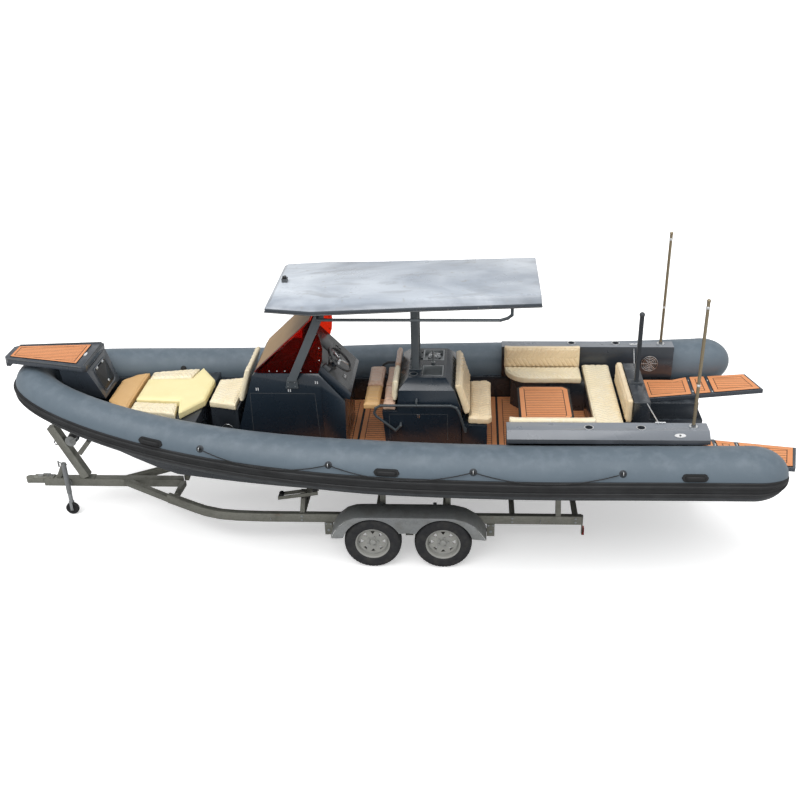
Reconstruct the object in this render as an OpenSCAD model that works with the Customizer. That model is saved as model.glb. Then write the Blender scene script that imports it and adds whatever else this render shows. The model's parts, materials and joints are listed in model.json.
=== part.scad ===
// Rigid inflatable cruiser with a hard top, standing on its twin-axle trailer.
// Millimetres. +X is forward to the bow, +Y to port, +Z up, z = 0 is the ground.
// Lengths along X are counted from the point midway between the two axles,
// then place() moves everything so that the origin is midway along the whole.

/* [Inflated collar] */
// Height of the collar's axis above the ground amidships
tube_z = 1407; // [1300:1:1550]
// Half distance between the two collar axes amidships
tube_y = 1307; // [1150:1:1400]
// Radius of the collar aft
tube_r = 287; // [240:1:320]
// Radius of the collar at the bow tip
tube_bow_r = 219; // [180:1:280]
// X of the aft end of the collar
tube_aft_x = -3980; // [-4300:1:-3700]
// X where the collar starts to curve in
tube_bend_x = -1828; // [-2200:1:-1200]
// X of the collar's axis at the bow tip
tube_bow_x = 4378; // [4000:1:4600]
// Rise of the collar's axis at the bow
tube_sheer = 429; // [250:1:600]
// How far the aft ends spread outward
tube_toe = 64; // [0:1:90]
// How far the aft ends rise
tube_aft_rise = 52; // [0:1:90]
// Length of the rounded aft end
tube_dome_l = 360; // [250:1:450]

/* [Hull] */
// Height of the keel above the ground
keel_z = 545; // [520:1:600]
// Half width at the chine amidships
chine_y = 960; // [850:1:1000]
// Deadrise angle aft
deadrise = 22; // [16:1:26]
// X of the transom
transom_x = -3500; // [-3560:1:-3450]
// Height of the top of the cockpit sole
sole_z = 1120; // [1080:1:1160]
// Thickness of the teak sole
teak_t = 12; // [8:1:20]
// Thickness of the inner side wall under the collar
wall_t = 42; // [30:1:60]
// Clear gap between the collar and what stands beside it
tube_gap = 3; // [2:0.5:10]

/* [Bow step] */
// X of the nose of the bow step
nose_x = 4640; // [4600:1:4720]
// Height of the bow step's top at the nose
nose_z = 2182; // [2140:1:2220]
// X of the aft edge of the bow step
step_aft_x = 3640; // [3600:1:3700]
// Height of the bow step's top at its aft edge
step_aft_z = 2146; // [2120:1:2180]
// Half width of the bow step at its aft edge
step_half_w = 342; // [300:1:360]
// Half width of the bow step at the nose
nose_half_w = 165; // [140:1:190]
// Width of the locker door
door_w = 300; // [240:1:340]
// Height of the locker door
door_h = 250; // [200:1:270]

/* [Bow lounge] */
// Height of the top of the bow cushions
bow_cushion_z = 1700; // [1680:1:1720]
// Thickness of a seat cushion
cushion_t = 90; // [60:1:110]
// X of the aft edge of the bow lounge
bow_seat_aft_x = 2335; // [2320:1:2380]

/* [Console] */
// Half width of the console
console_half_w = 450; // [400:1:480]
// X of the console's front foot
console_front_x = 1950; // [1900:1:2000]
// X of the console's aft foot
console_aft_x = 720; // [690:1:760]
// Height of the console's shoulder, where the windscreen stands
console_top_z = 2135; // [2100:1:2160]
// Thickness of the windscreen panes
pane_t = 8; // [5:1:12]
// Outside radius of the helm wheel
helm_r = 178; // [150:1:200]
// Y of the helm wheel's centre
helm_y = 200; // [150:1:250]

/* [Hard top] */
// Height of the roof's fold line at its aft edge
roof_aft_z = 3123; // [3080:1:3160]
// Height of the roof's fold line at its front edge
roof_front_z = 3045; // [3000:1:3080]
// Half width between the roof's fold lines
roof_fold_y = 565; // [520:1:600]
// Half width of the roof at its widest
roof_half_w = 755; // [700:1:800]
// X of the roof's front fold
roof_front_x = 1416; // [1380:1:1440]
// X of the roof's aft edge
roof_aft_x = -1430; // [-1500:1:-1400]
// Diameter of the hand rails
rail_d = 34; // [28:1:40]

/* [Seat module] */
// Half width of the seat module
module_half_w = 500; // [460:1:520]
// Height of the seat module's top
module_top_z = 2060; // [2030:1:2100]
// Height of the top of the helm seat cushions
helm_seat_z = 1785; // [1760:1:1800]
// Length of a flip-up bolster
bolster_l = 205; // [180:1:220]

/* [Aft lounge] */
// Height of the top of the aft cushions
seat_z = 1610; // [1590:1:1630]
// Half distance between the side cushions
lounge_gap_y = 535; // [500:1:560]
// Height of the table's top
table_z = 1552; // [1500:1:1580]
// Length of the table
table_l = 620; // [560:1:640]
// Width of the table
table_w = 830; // [760:1:860]

/* [Stern] */
// Height of the coaming tops
coaming_z = 1820; // [1800:1:1840]
// Half distance between the coamings' inner faces
coaming_y = 952; // [940:1:970]
// X of the coamings' forward end
coaming_front_x = -1080; // [-1120:1:-1040]
// X of the coamings' aft end
coaming_aft_x = -3190; // [-3230:1:-3150]
// Height of the swim platforms' tops
platform_z = 1384; // [1370:1:1390]
// X of the aft end of the swim platforms
platform_aft_x = -4262; // [-4300:1:-4200]
// Diameter of the awning poles
pole_d = 34; // [28:1:40]
// Height of the awning poles' tops
pole_top_z = 3244; // [3100:1:3300]
// Bore of a cup holder
cup_d = 80; // [70:1:86]

/* [Trailer] */
// Outside diameter of a tyre
tyre_d = 650; // [620:1:680]
// Width of a tyre
tyre_w = 180; // [165:1:190]
// Diameter of the rim
rim_d = 372; // [350:1:380]
// Distance between the two axles
axle_gap = 794; // [760:1:860]
// Y of the wheels' outer faces
wheel_out_y = 1120; // [1100:1:1140]
// Half distance between the outer faces of the chassis rails
rail_y = 800; // [780:1:820]
// Width of a chassis rail
rail_w = 60; // [50:1:80]
// Height of a chassis rail
rail_h = 110; // [100:1:120]
// Height of the chassis rails' undersides
rail_z = 395; // [385:1:400]
// X of the coupling's tip
coupling_x = 4797; // [4700:1:4900]
// Side of the square drawbar
drawbar_s = 100; // [80:1:110]
// Diameter of the jockey wheel
jockey_d = 160; // [150:1:180]
// X of the jack
jack_x = 4250; // [4200:1:4300]
// Diameter of the jack's outer tube
jack_d = 60; // [50:1:65]

/* [Hidden] */
$fn = 96;
mid_x = (coupling_x + platform_aft_x) / 2;
sides = 40;
sheer_x = -554;
taper_x = 409;
bow_len = tube_bow_x - tube_bend_x;
dome_x = tube_aft_x + tube_dome_l;
axle_z = tyre_d / 2;
teak_z = sole_z - teak_t;

module place() { translate([-mid_x, 0, 0]) children(); }
module both() { children(); mirror([0, 1, 0]) children(); }

// ---- path of the collar ----
function unit(v) = v / norm(v);
function dome_k(x) = x < dome_x ? sqrt(max(0.03, 1 - pow((dome_x - x) / tube_dome_l, 2))) : 1;
function path_y(x) = x < tube_bend_x
  ? tube_y + tube_toe * pow((tube_bend_x - x) / (tube_bend_x - tube_aft_x), 2)
  : tube_y * sqrt(max(0, 1 - pow((x - tube_bend_x) / bow_len, 2)));
function path_z(x) = tube_z
  + (x > sheer_x ? tube_sheer * pow((x - sheer_x) / (tube_bow_x - sheer_x), 2.685) : 0)
  + (x < -1000 ? tube_aft_rise * pow((-1000 - x) / (-1000 - tube_aft_x), 2) : 0);
function path_r(x) = (x > taper_x
  ? tube_r + (tube_bow_r - tube_r) * (x - taper_x) / (tube_bow_x - taper_x) : tube_r) * dome_k(x);
function station(x, s = 1) = [x, s * path_y(x), path_z(x), path_r(x)];
aft_xs = concat([for (a = [10:16:90]) dome_x - tube_dome_l * cos(a)],
  [for (k = [1:4]) dome_x + (tube_bend_x - dome_x) * k / 4]);
bow_xs = [for (a = [4:3.6:90]) tube_bend_x + bow_len * sin(a)];
port_st = concat([for (x = aft_xs) station(x)], [for (x = bow_xs) if (x < tube_bow_x - 1) station(x)],
  [[tube_bow_x, 0, path_z(tube_bow_x), tube_bow_r]]);
all_st = concat(port_st, [for (i = [len(port_st) - 2:-1:0])
  [port_st[i][0], -port_st[i][1], port_st[i][2], port_st[i][3]]]);
function xyz(p) = [p[0], p[1], p[2]];
function frame_t(st, i) = unit(xyz(st[min(i + 1, len(st) - 1)]) - xyz(st[max(i - 1, 0)]));
function on_ring(st, i, a, e) = let (t = frame_t(st, i), n = unit(cross([0, 0, 1], t)),
  b = cross(t, n)) xyz(st[i]) + (st[i][3] + e) * (cos(a) * n + sin(a) * b);
function sweep_points(st, prof) =
  [for (i = [0:len(st) - 1]) for (p = prof) on_ring(st, i, p[0], p[1])];
function sweep_faces(n, m) = concat([[for (j = [0:n - 1]) j]],
  [for (i = [0:m - 2]) for (j = [0:n - 1]) let (k = (j + 1) % n)
    [i * n + j, (i + 1) * n + j, (i + 1) * n + k]],
  [for (i = [0:m - 2]) for (j = [0:n - 1]) let (k = (j + 1) % n)
    [i * n + j, (i + 1) * n + k, i * n + k]],
  [[for (j = [n - 1:-1:0]) (m - 1) * n + j]]);
module sweep(st, prof) {
  polyhedron(sweep_points(st, prof), sweep_faces(len(prof), len(st)), convexity = 10);
}
// a point on the collar at x, angle a above the outward level, e beyond the surface
function near_st(x, s) = [station(x - 4, s), station(x, s), station(x + 4, s)];
function on_tube(x, s, a, e) = let (st = near_st(x, s), t = unit(xyz(st[2]) - xyz(st[0])),
  n = unit(cross([0, 0, 1], t)) * s, b = cross(t, n) * s)
  xyz(st[1]) + (st[1][3] + e) * (cos(a) * n + sin(a) * b);

// ---- general pieces ----
module rod(a, b, d) {
  v = b - a;
  translate(a) rotate([0, acos(v[2] / norm(v)), atan2(v[1], v[0])]) cylinder(d = d, h = norm(v));
}
module bent_rod(pts, d) {
  for (i = [0:len(pts) - 2]) rod(pts[i], pts[i + 1], d);
  for (i = [1:1:len(pts) - 2]) translate(pts[i]) sphere(d = d + 2.4, $fn = 72);
}
// an outline in x,z given from port face y0 to y1
module slab_y(pts, y0, y1) {
  translate([0, y1, 0]) rotate([90, 0, 0]) linear_extrude(y1 - y0) polygon(pts);
}
module slab_z(pts, z0, z1) { translate([0, 0, z0]) linear_extrude(z1 - z0) polygon(pts); }
module box(lo, hi) { translate(lo) cube(hi - lo); }
module round_rect(w, h, r, t) {
  linear_extrude(t) {
    square([w - 2 * r, h], center = true);
    square([w, h - 2 * r], center = true);
    for (x = [-1, 1]) for (y = [-1, 1]) translate([x * (w / 2 - r), y * (h / 2 - r)]) circle(r);
  }
}
// a plain cushion of thickness t below its top
module pad(pts, top, t) { slab_z(pts, top - t, top); }

// ---- hull ----
stem_x = 3900;
stem_tip_x = 4330;
stem_tip_z = 1430;
function rise(x) = x < 2600 ? 0 : 250 * pow((x - 2600) / 800, 1.25);
function keel(x) = keel_z + rise(x);
function bow_k(x) = max(0, (x - 800) / 3150);
function chine_at(x) = chine_y * sqrt(max(0.012, 1 - pow(bow_k(x), 2.3)));
function dead_at(x) = deadrise + 20 * pow(max(0, (x - 400) / 3500), 1.6);
function path_t(x) = unit([8, path_y(x + 4) - path_y(x - 4), path_z(x + 4) - path_z(x - 4)]);
// distance from the collar's axis to its surface, measured square to X
function cut_r(x, a) = let (t = path_t(x), k = t[1] * cos(a) + t[2] * sin(a))
  (path_r(x) + tube_gap) / sqrt(1 - k * k);
function cradle(x, a) = [path_y(x) + cut_r(x, a) * cos(a), path_z(x) + cut_r(x, a) * sin(a)];
platform_t = 54;
wall_low_z = platform_z - 7 - platform_t - 2;
function wall_top(x) = x < sheer_x ? tube_z - 6 : path_z(x) - 6;
function wall_a(x) = -180 + asin((path_z(x) - wall_top(x)) / cut_r(x, -180));
function wall_in(x) = path_y(x) - cut_r(x, -180) - wall_t;
cradle_n = 8;
skin_min = 40;
joint_gap = 0.5;
// the floor rises in the bow, where the bottom comes up under it
function floor_z(x) = max(teak_z, keel(x) + wall_in(x) * tan(dead_at(x)) + skin_min);
function hull_half(x) = let (c = chine_at(x), zk = keel(x),
  zc = min(zk + c * tan(dead_at(x)), cradle(x, -112)[1] - 60))
  concat([[0, zk], [c, zc]],
    [for (k = [0:cradle_n]) cradle(x, -112 + (wall_a(x) + 112) * k / cradle_n)],
    [[wall_in(x), cradle(x, wall_a(x))[1]], [wall_in(x), floor_z(x)], [0, floor_z(x)]]);
function hull_ring(x) = let (h = hull_half(x)) concat([for (p = h) [x, p[0], p[1]]],
  [for (i = [len(h) - 2:-1:1]) [x, -h[i][0], h[i][1]]]);
hull_xs = concat([transom_x - 20, -3150, -2800, -2330, -1828, -1380, -900, 0, 600],
  [for (x = [1100:250:3850]) x], [stem_x + 10]);
module hull_shell() {
  pts = [for (x = hull_xs) for (p = hull_ring(x)) p];
  polyhedron(pts, sweep_faces(len(hull_ring(0)), len(hull_xs)), convexity = 10);
}
// the stem carries the keel up to the collar's tip
module stem() {
  hull() {
    slab_x([[0, keel(stem_x)], [184, keel(stem_x) + 165], [350, 1452], [320, 1470], [-320, 1470],
      [-350, 1452], [-184, keel(stem_x) + 165]], stem_x + 0.5, stem_x + 4);
    slab_x([[0, stem_tip_z], [22, stem_tip_z + 30], [22, 1592], [-22, 1592], [-22, stem_tip_z + 30]],
      stem_tip_x, stem_tip_x + 4);
  }
}
// the engine well opens through the transom
module engine_well() { box([transom_x - 1, -400, 1040], [-2820, 400, 1500]); }
module hull_between(z0, z1) {
  intersection() {
    hull_shell();
    box([transom_x, -1600, z0], [stem_x, 1600, z1]);
  }
}
// the bottom moulding, up to the cockpit sole
module rigid_hull() {
  place() color("#3c4046") {
    difference() {
      hull_between(keel_z - 100, teak_z);
      engine_well();
    }
    stem();
  }
}
// the upper moulding: inner sides that cradle the collar, and the raised floor of the bow
module hull_sides() {
  place() color("#3c4046") difference() {
    hull_between(teak_z + joint_gap, coaming_z + 600);
    engine_well();
    // walls cut down under the swim platforms
    both() box([transom_x - 1, 900, wall_low_z], [coaming_aft_x - 2, 1400, 1500]);
  }
}

// ---- teak ----
module teak_decking() {
  place() color("#c8743c") {
    xs = [-2380, -1828, -900, 0, 600, 1100, 1500, 2000];
    slab_z(concat([for (x = xs) [x, wall_in(x) - 6]],
      [for (i = [len(xs) - 1:-1:0]) [xs[i], -wall_in(xs[i]) + 6]]), teak_z, sole_z);
    // bow step pad
    step_frame() translate([0, 0, 0.5]) linear_extrude(8) polygon([
      [130, 255], [940, 135], [940, -135], [130, -255]]);
    both() {
      slab_z([[-2822, 450], [-2822, 925], [-3195, 925], [-3385, 1005], [-3370, 548]],
        platform_z - 6, platform_z);
      slab_z([[-3410, 556], [-3425, 1008], [-3610, 1028], [-3610, 594]], platform_z - 6, platform_z);
      slab_z([[-3650, 602], [-3650, 1032], [-4115, 1098], [-4228, 706]],
        platform_z - 6, platform_z);
    }
  }
}

// ---- collar and what is on it ----
module tube_collar() {
  place() color("#5d6b78")
    sweep(all_st, [for (j = [0:sides - 1]) [j * 360 / sides, 0]]);
}
strake_prof = [[-27, 2], [-27, 9], [-20, 11], [-18.5, 20], [-16.5, 27], [-14, 27], [-12, 20],
  [-11, 11], [-5, 10], [0, 11], [1, 20], [2.5, 27], [5, 27], [6.5, 20], [8, 11], [12.5, 8],
  [12.5, 2], [4, 2], [-5, 2], [-14, 2]];
module rub_strake() {
  place() color("#1d1f22") sweep(all_st, strake_prof);
}
handle_xs = [2700, 150, -2990];
ring_xs = [2150, 760, -740, -2260];
module at_tube(x, s, a, e) {
  p = on_tube(x, s, a, e);
  q = on_tube(x, s, a, e + 10);
  d = q - p;
  yaw = atan2(d[1], d[0]);
  translate(p) rotate([0, 0, yaw]) rotate([0, acos(d[2] / norm(d)), 0]) children();
}
module tube_fittings() {
  place() for (s = [1, -1]) {
    // carrying handles: a pad with a raised grip
    for (x = handle_xs) at_tube(x, s, 22, 14) color("#23262a") {
      rotate([0, 0, 90]) round_rect(270, 84, 40, 8);
      difference() {
        translate([-28, -95, 8]) cube([56, 190, 30]);
        translate([-40, -70, 8.01]) cube([80, 140, 16]);
      }
    }
    // lacing rings
    for (x = ring_xs) at_tube(x, s, 30, 4) color("#b8bcc0") {
      cylinder(d = 70, h = 6);
      translate([0, 0, 5]) rotate([90, 0, 0]) translate([0, 22, -5])
        rotate_extrude() translate([20, 0]) circle(d = 8);
    }
    // inflation valves
    for (x = [2900, -200]) at_tube(x, s, 158, 4) color("#1d1f22") {
      cylinder(d = 70, h = 7);
      translate([0, 0, 7]) cylinder(d = 44, h = 9);
    }
  }
}
line_d = 12;
function line_a(x) = let (i = x > ring_xs[1] ? 0 : x > ring_xs[2] ? 1 : 2,
  k = (ring_xs[i] - x) / (ring_xs[i] - ring_xs[i + 1])) 30 - 84 * k * (1 - k);
line_xs = [for (x = [ring_xs[3] + 45:62:ring_xs[0] - 40]) x];
module cord(pts, d) {
  n = 8;
  m = len(pts);
  ring = [for (i = [0:m - 1]) let (t = unit(pts[min(i + 1, m - 1)] - pts[max(i - 1, 0)]),
    u = unit(cross([0, 0, 1], t)), w = cross(t, u)) for (j = [0:n - 1])
    pts[i] + d / 2 * (cos(j * 45) * u + sin(j * 45) * w)];
  polyhedron(ring, sweep_faces(n, m), convexity = 10);
}
module grab_lines() {
  place() color("#17181a") for (s = [1, -1])
    cord([for (x = line_xs) on_tube(x, s, line_a(x), 24)], line_d);
}

// ---- bow step ----
step_tilt = atan((nose_z - step_aft_z) / (nose_x - step_aft_x));
// x runs forward from the aft edge, z = 0 on the top surface
module step_frame() {
  translate([step_aft_x, 0, step_aft_z]) rotate([0, -step_tilt, 0]) children();
}
step_len = (nose_x - step_aft_x) / cos(step_tilt);
module bow_step() {
  place() color("#454a52") {
    // top moulding with waisted sides
    step_frame() difference() {
      translate([0, 0, -58]) linear_extrude(58) polygon([
        [0, step_half_w - 30], [40, step_half_w], [step_len - 50, nose_half_w + 20],
        [step_len, nose_half_w - 30], [step_len, -nose_half_w + 30],
        [step_len - 50, -nose_half_w - 20], [40, -step_half_w], [0, -step_half_w + 30]]);
      for (s = [1, -1]) translate([20, s * (step_half_w + 6), -58])
        rotate([0, 0, -s * 9]) translate([480, 0, 0]) cube([1100, 14, 30], center = true);
    }
    // nose lip that hooks down ahead of the collar
    step_frame() translate([step_len - 46, -nose_half_w + 30, -120])
      cube([46, 2 * nose_half_w - 60, 62]);
    // locker body between the collar arms
    locker_body();
  }
}
// the locker body: aft face leans forward at its top
locker_lo_x = 3505;
locker_lo_z = bow_cushion_z + 6;
locker_top_z = 2080;
locker_lean = atan((step_aft_x - locker_lo_x) / (locker_top_z - locker_lo_z));
module locker_body() {
  difference() {
    hull() {
      slab_x([[-250, locker_lo_z], [250, locker_lo_z], [250, locker_lo_z + 8], [-250, locker_lo_z + 8]],
        locker_lo_x, locker_lo_x + 8);
      slab_x([[-310, locker_top_z - 8], [310, locker_top_z - 8], [310, locker_top_z],
        [-310, locker_top_z]], step_aft_x, step_aft_x + 8);
      slab_x([[-190, locker_lo_z + 60], [190, locker_lo_z + 60], [262, locker_top_z + 8],
        [-262, locker_top_z + 8]], 3900, 3980);
    }
    door_frame() translate([0, 0, -13]) round_rect(door_w + 12, door_h + 12, 40, 60);
  }
}
// door plane: z out of the aft face, y up the face, x across
module door_frame() {
  translate([(locker_lo_x + step_aft_x) / 2, 0, (locker_lo_z + locker_top_z) / 2])
    rotate([0, locker_lean, 0]) rotate([90, 0, -90]) children();
}
module locker_door() {
  place() color("#1d1f22") door_frame() {
    translate([0, 0, -6]) round_rect(door_w, door_h, 34, 14);
    translate([0, -door_h / 2 + 45, 8]) cylinder(d = 46, h = 6);
  }
}

// ---- bow lounge ----
lounge_front_x = 3500;
bow_base_top = bow_cushion_z - cushion_t - 1;
bow_seat_gap = 10;
bow_base_low = 1210;
function bow_lim(x) = wall_in(x) - bow_seat_gap;
function bow_outline(xs) = concat([for (x = xs) [x, bow_lim(x)]],
  [for (i = [len(xs) - 1:-1:0]) [xs[i], -bow_lim(xs[i])]]);
module bow_seat_base() {
  place() color("#2e333a") {
    slab_z(bow_outline([2380, 2600, 2850, 3100]), teak_z + 1, bow_base_top);
    slab_z(bow_outline([3100, 3300, lounge_front_x]), bow_base_low, bow_base_top);
    difference() {
      slab_z([[1965, 330], [2290, 270], [2290, -270], [1965, -330]], sole_z, bow_base_top);
      for (s = [1, -1]) translate([2110, s * 340, 1330]) rotate([90, 0, 0])
        cylinder(d = 150, h = 120, center = true);
    }
  }
}
strip_y = 270;
module bow_cushions() {
  place() color("#e3cfa0") {
    both() pad([[2640, strip_y + 45], [2600, 590], [2900, 545], [3175, 478], [3175, strip_y + 6]],
      bow_cushion_z, cushion_t);
    pad([[3185, 470], [3340, 415], [3490, 262], [3490, -262], [3340, -415], [3185, -470]],
      bow_cushion_z, cushion_t);
  }
}
module bow_infill() {
  place() color("#e8d79a") pad([[3170, strip_y - 4], [2640, strip_y + 30], [2560, 600],
    [bow_seat_aft_x, 262], [bow_seat_aft_x, -262], [2560, -600], [2640, -strip_y - 30],
    [3170, -strip_y + 4]], bow_cushion_z + 16, cushion_t + 16);
}
module console_seat() {
  place() color("#e3cfa0") {
    pad([[1962, 372], [2310, 292], [2310, -292], [1962, -372]], bow_cushion_z, cushion_t);
    translate([console_front_x - 20, 0, bow_cushion_z + 10]) rotate([0, -16.5, 0])
      translate([-42, -340, 0]) cube([62, 680, 440]);
  }
}

// ---- console ----
dash_top = [1076, 2344];
dash_lip = [634, 1880];
dash_dir = unit([dash_lip[0] - dash_top[0], 0, dash_lip[1] - dash_top[1]]);
dash_n = [dash_dir[2], 0, -dash_dir[0]];
function dash_at(k, y, e) = [dash_top[0], y, dash_top[1]] + dash_dir * k + dash_n * e;
dash_tilt = atan2(dash_n[0], dash_n[2]);
wheel_k = 318;
wheel_e = 118;
module console() {
  place() color("#2f3640") {
    difference() {
      slab_y([[console_front_x, sole_z], [console_front_x - 25, 1461], [1730, 2100],
        [1700, console_top_z], [985, console_top_z], [705, 1790], [console_aft_x, sole_z]],
        -console_half_w, console_half_w);
      for (s = [1, -1]) translate([966, s * console_half_w, 1300])
        cube([3, 8, 1300], center = true);
    }
    // dash pod
    slab_y([[1200, console_top_z + 0.5], [1120, 2300], dash_top, dash_lip, [655, 1800],
      [712, 1812], [978, console_top_z + 0.5]], -console_half_w + 30, console_half_w - 30);
    // steering boss
    p = dash_at(wheel_k, helm_y, -12);
    translate(p) rotate([0, dash_tilt, 0]) difference() {
      cylinder(d = 70, h = wheel_e - 25);
      translate([0, 0, 40]) cylinder(d = 24, h = wheel_e);
    }
  }
}
module helm_wheel() {
  place() translate(dash_at(wheel_k, helm_y, wheel_e)) rotate([0, dash_tilt, 0]) {
    color("#141414") rotate_extrude() translate([helm_r - 15, 0]) circle(d = 30, $fn = 72);
    color("#c4c6c8") {
      cylinder(d = 62, h = 24, center = true);
      for (a = [90, 210, 330]) rotate([0, 0, a]) translate([0, -16, -4]) cube([helm_r - 18, 32, 8]);
      translate([0, 0, -78]) cylinder(d = 18, h = 70);
    }
  }
}
module throttle() {
  place() color("#1a1c1f") translate(dash_at(245, 372, 0.5)) rotate([0, dash_tilt, 0]) {
    translate([-40, -32, 0]) cube([80, 64, 45]);
    rod([0, 0, 45], [60, 0, 120], 16);
    translate([60, -20, 120]) rotate([-90, 0, 0]) cylinder(d = 26, h = 40);
  }
}
screen_y = 438;
screen_lo = [1700, console_top_z + 14];
screen_hi = [1042, 2768];
module windscreen() {
  place() color("#7a3b34") {
    d = unit([screen_hi[0] - screen_lo[0], screen_hi[1] - screen_lo[1]]);
    n = [d[1], -d[0]] * pane_t;
    slab_y([screen_lo, screen_hi, screen_hi - n, screen_lo - n], -screen_y, screen_y);
    both() slab_y([[1668, console_top_z + 1], [986, console_top_z + 1], [935, 2290], [922, 2430],
      [945, 2560], [1010, 2770], [1028, 2770]], screen_y - pane_t, screen_y);
  }
}

// ---- hard top ----
roof_edge = [[roof_front_x + 56, 645, -8], [965, roof_half_w, 2], [-200, 700, 30],
  [roof_aft_x - 6, 625, 46]];
module roof() {
  place() color("#6a7078") polyhedron(roof_pts, roof_faces, convexity = 6);
}
roof_t = 46;
roof_hip = [for (x = [roof_front_x, 965, -200, roof_aft_x]) [x, roof_fold_y,
  roof_aft_z + (roof_front_z - roof_aft_z) * (x - roof_aft_x) / (roof_front_x - roof_aft_x)]];
roof_rim = [for (e = roof_edge) [e[0], e[1], 3000 + e[2]]];
roof_half_pts = concat(roof_hip, roof_rim, [for (p = roof_rim) p - [0, 12, roof_t]]);
roof_pts = concat(roof_half_pts, [for (p = roof_half_pts) [p[0], -p[1], p[2]]]);
roof_faces = concat(
  // top between the fold lines
  [for (i = [0:2]) each [[i, i + 12, i + 13], [i, i + 13, i + 1]]],
  // sloping sides and edges, port
  [for (i = [0:2]) each [[i, i + 1, i + 5], [i, i + 5, i + 4]]],
  [for (i = [0:2]) each [[i + 4, i + 5, i + 9], [i + 4, i + 9, i + 8]]],
  // starboard
  [for (i = [0:2]) each [[i + 12, i + 17, i + 13], [i + 12, i + 16, i + 17]]],
  [for (i = [0:2]) each [[i + 16, i + 21, i + 17], [i + 16, i + 20, i + 21]]],
  // underside
  [for (i = [0:2]) each [[i + 8, i + 9, i + 21], [i + 8, i + 21, i + 20]]],
  // front end and aft end
  [[0, 4, 16], [0, 16, 12], [4, 8, 20], [4, 20, 16],
   [3, 15, 19], [3, 19, 7], [7, 19, 23], [7, 23, 11]]);
function roof_under(x) = let (i = x > 965 ? 0 : x > -200 ? 1 : 2, a = roof_rim[i],
  b = roof_rim[i + 1]) a[2] + (b[2] - a[2]) * (x - a[0]) / (b[0] - a[0]) - roof_t;
arm_y = 470;
module roof_frame() {
  place() color("#4a5058") {
    both() {
      slab_y([[1335, 2060], [1232, 2060], [820, roof_under(820) - 1], [925, roof_under(925) - 1]],
        arm_y, arm_y + 26);
      // foot plate on the console's side
      slab_y([[1360, 1960], [1215, 1960], [1225, 2090], [1330, 2090]], console_half_w + 1, arm_y - 0.5);
    }
    for (y = [150, -150]) {
      box([-118, y - 30, module_top_z + 10], [-32, y + 30, roof_under(-75) - 2]);
      box([-150, y - 48, module_top_z + 1], [0, y + 48, module_top_z + 10]);
      slab_y([[-118.5, 2780], [-118.5, 2850], [-255, roof_under(-255) - 2],
        [-330, roof_under(-330) - 2]], y - 12, y + 12);
    }
  }
}
module roof_rails() {
  place() color("#3a4048") both() {
    bent_rod([[935, 600, 2845], [-1010, 600, 2845], [-1085, 600, 2868], [-1130, 600, 2905],
      [-1130, 600, roof_under(-1130) - 1]], rail_d);
    bent_rod([[935, 600, 2845], [935, 520, 2845]], rail_d);
    box([870, 500, 2820], [960, 512, 2870]);
  }
}

// ---- seat module ----
shelf_z = helm_seat_z - cushion_t - 1;
module seat_module() {
  place() color("#2a323c") {
    difference() {
      union() {
        slab_y([[250, sole_z], [262, 1314], [288, shelf_z], [120, shelf_z], [98, 1957],
          [-516, 1957], [-590, 1720], [-600, sole_z]], -module_half_w, module_half_w);
        hull() {
          box([-516, -module_half_w, 1950], [98, module_half_w, 1957]);
          box([-424, -385, module_top_z - 5], [0, 385, module_top_z]);
        }
      }
      // sink recess and cooker recess
      box([-395, 80, module_top_z - 130], [-150, 340, module_top_z + 5]);
      box([-395, -340, module_top_z - 60], [-150, -60, module_top_z + 5]);
      for (s = [1, -1]) translate([-60, s * 295, module_top_z - 70]) cylinder(d = 78, h = 100);
      for (x = [100, -480]) for (s = [1, -1]) translate([x, s * module_half_w, sole_z + 70])
        rotate([90, 0, 0]) cylinder(d = 160, h = 60, center = true);
    }
    // base of the aft-facing seat
    box([-885, -480, sole_z], [-602, 480, seat_z - 101]);
  }
}
module sink_unit() {
  place() color("#b9bdc0") {
    difference() {
      box([-393, 82, module_top_z - 128], [-152, 338, module_top_z + 4]);
      box([-380, 95, module_top_z - 118], [-165, 325, module_top_z + 10]);
    }
    difference() {
      box([-393, -338, module_top_z - 58], [-152, -62, module_top_z + 4]);
      box([-380, -325, module_top_z - 40], [-165, -75, module_top_z + 10]);
    }
    translate([-275, -200, module_top_z - 40]) {
      cylinder(d = 150, h = 28);
      translate([0, 0, 28]) cylinder(d = 90, h = 12);
    }
    translate([-272, 20, module_top_z + 1]) {
      cylinder(d = 44, h = 18);
      bent_rod([[0, 0, 10], [0, 0, 130], [0, 30, 160], [0, 110, 150]], 20);
    }
    for (s = [1, -1]) translate([-60, s * 295, module_top_z + 0.5]) difference() {
      cylinder(d = 98, h = 5);
      translate([0, 0, -1]) cylinder(d = 76, h = 8);
    }
  }
}
seat_gap = 14;
seat_out = 492;
module helm_seats() {
  place() color("#dcc493") {
    both() {
      box([132, seat_gap, shelf_z + 1], [290, seat_out, helm_seat_z]);
      translate([124, 0, helm_seat_z + 4]) rotate([0, -4.8, 0])
        translate([0, seat_gap, 0]) cube([60, seat_out - seat_gap - 30, 268]);
    }
  }
}
module bolster(s) {
  place() color("#dcc493") {
    y0 = s > 0 ? seat_gap : -seat_out;
    box([305, y0, helm_seat_z - cushion_t + 6], [305 + bolster_l, y0 + seat_out - seat_gap, helm_seat_z]);
  }
}
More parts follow.
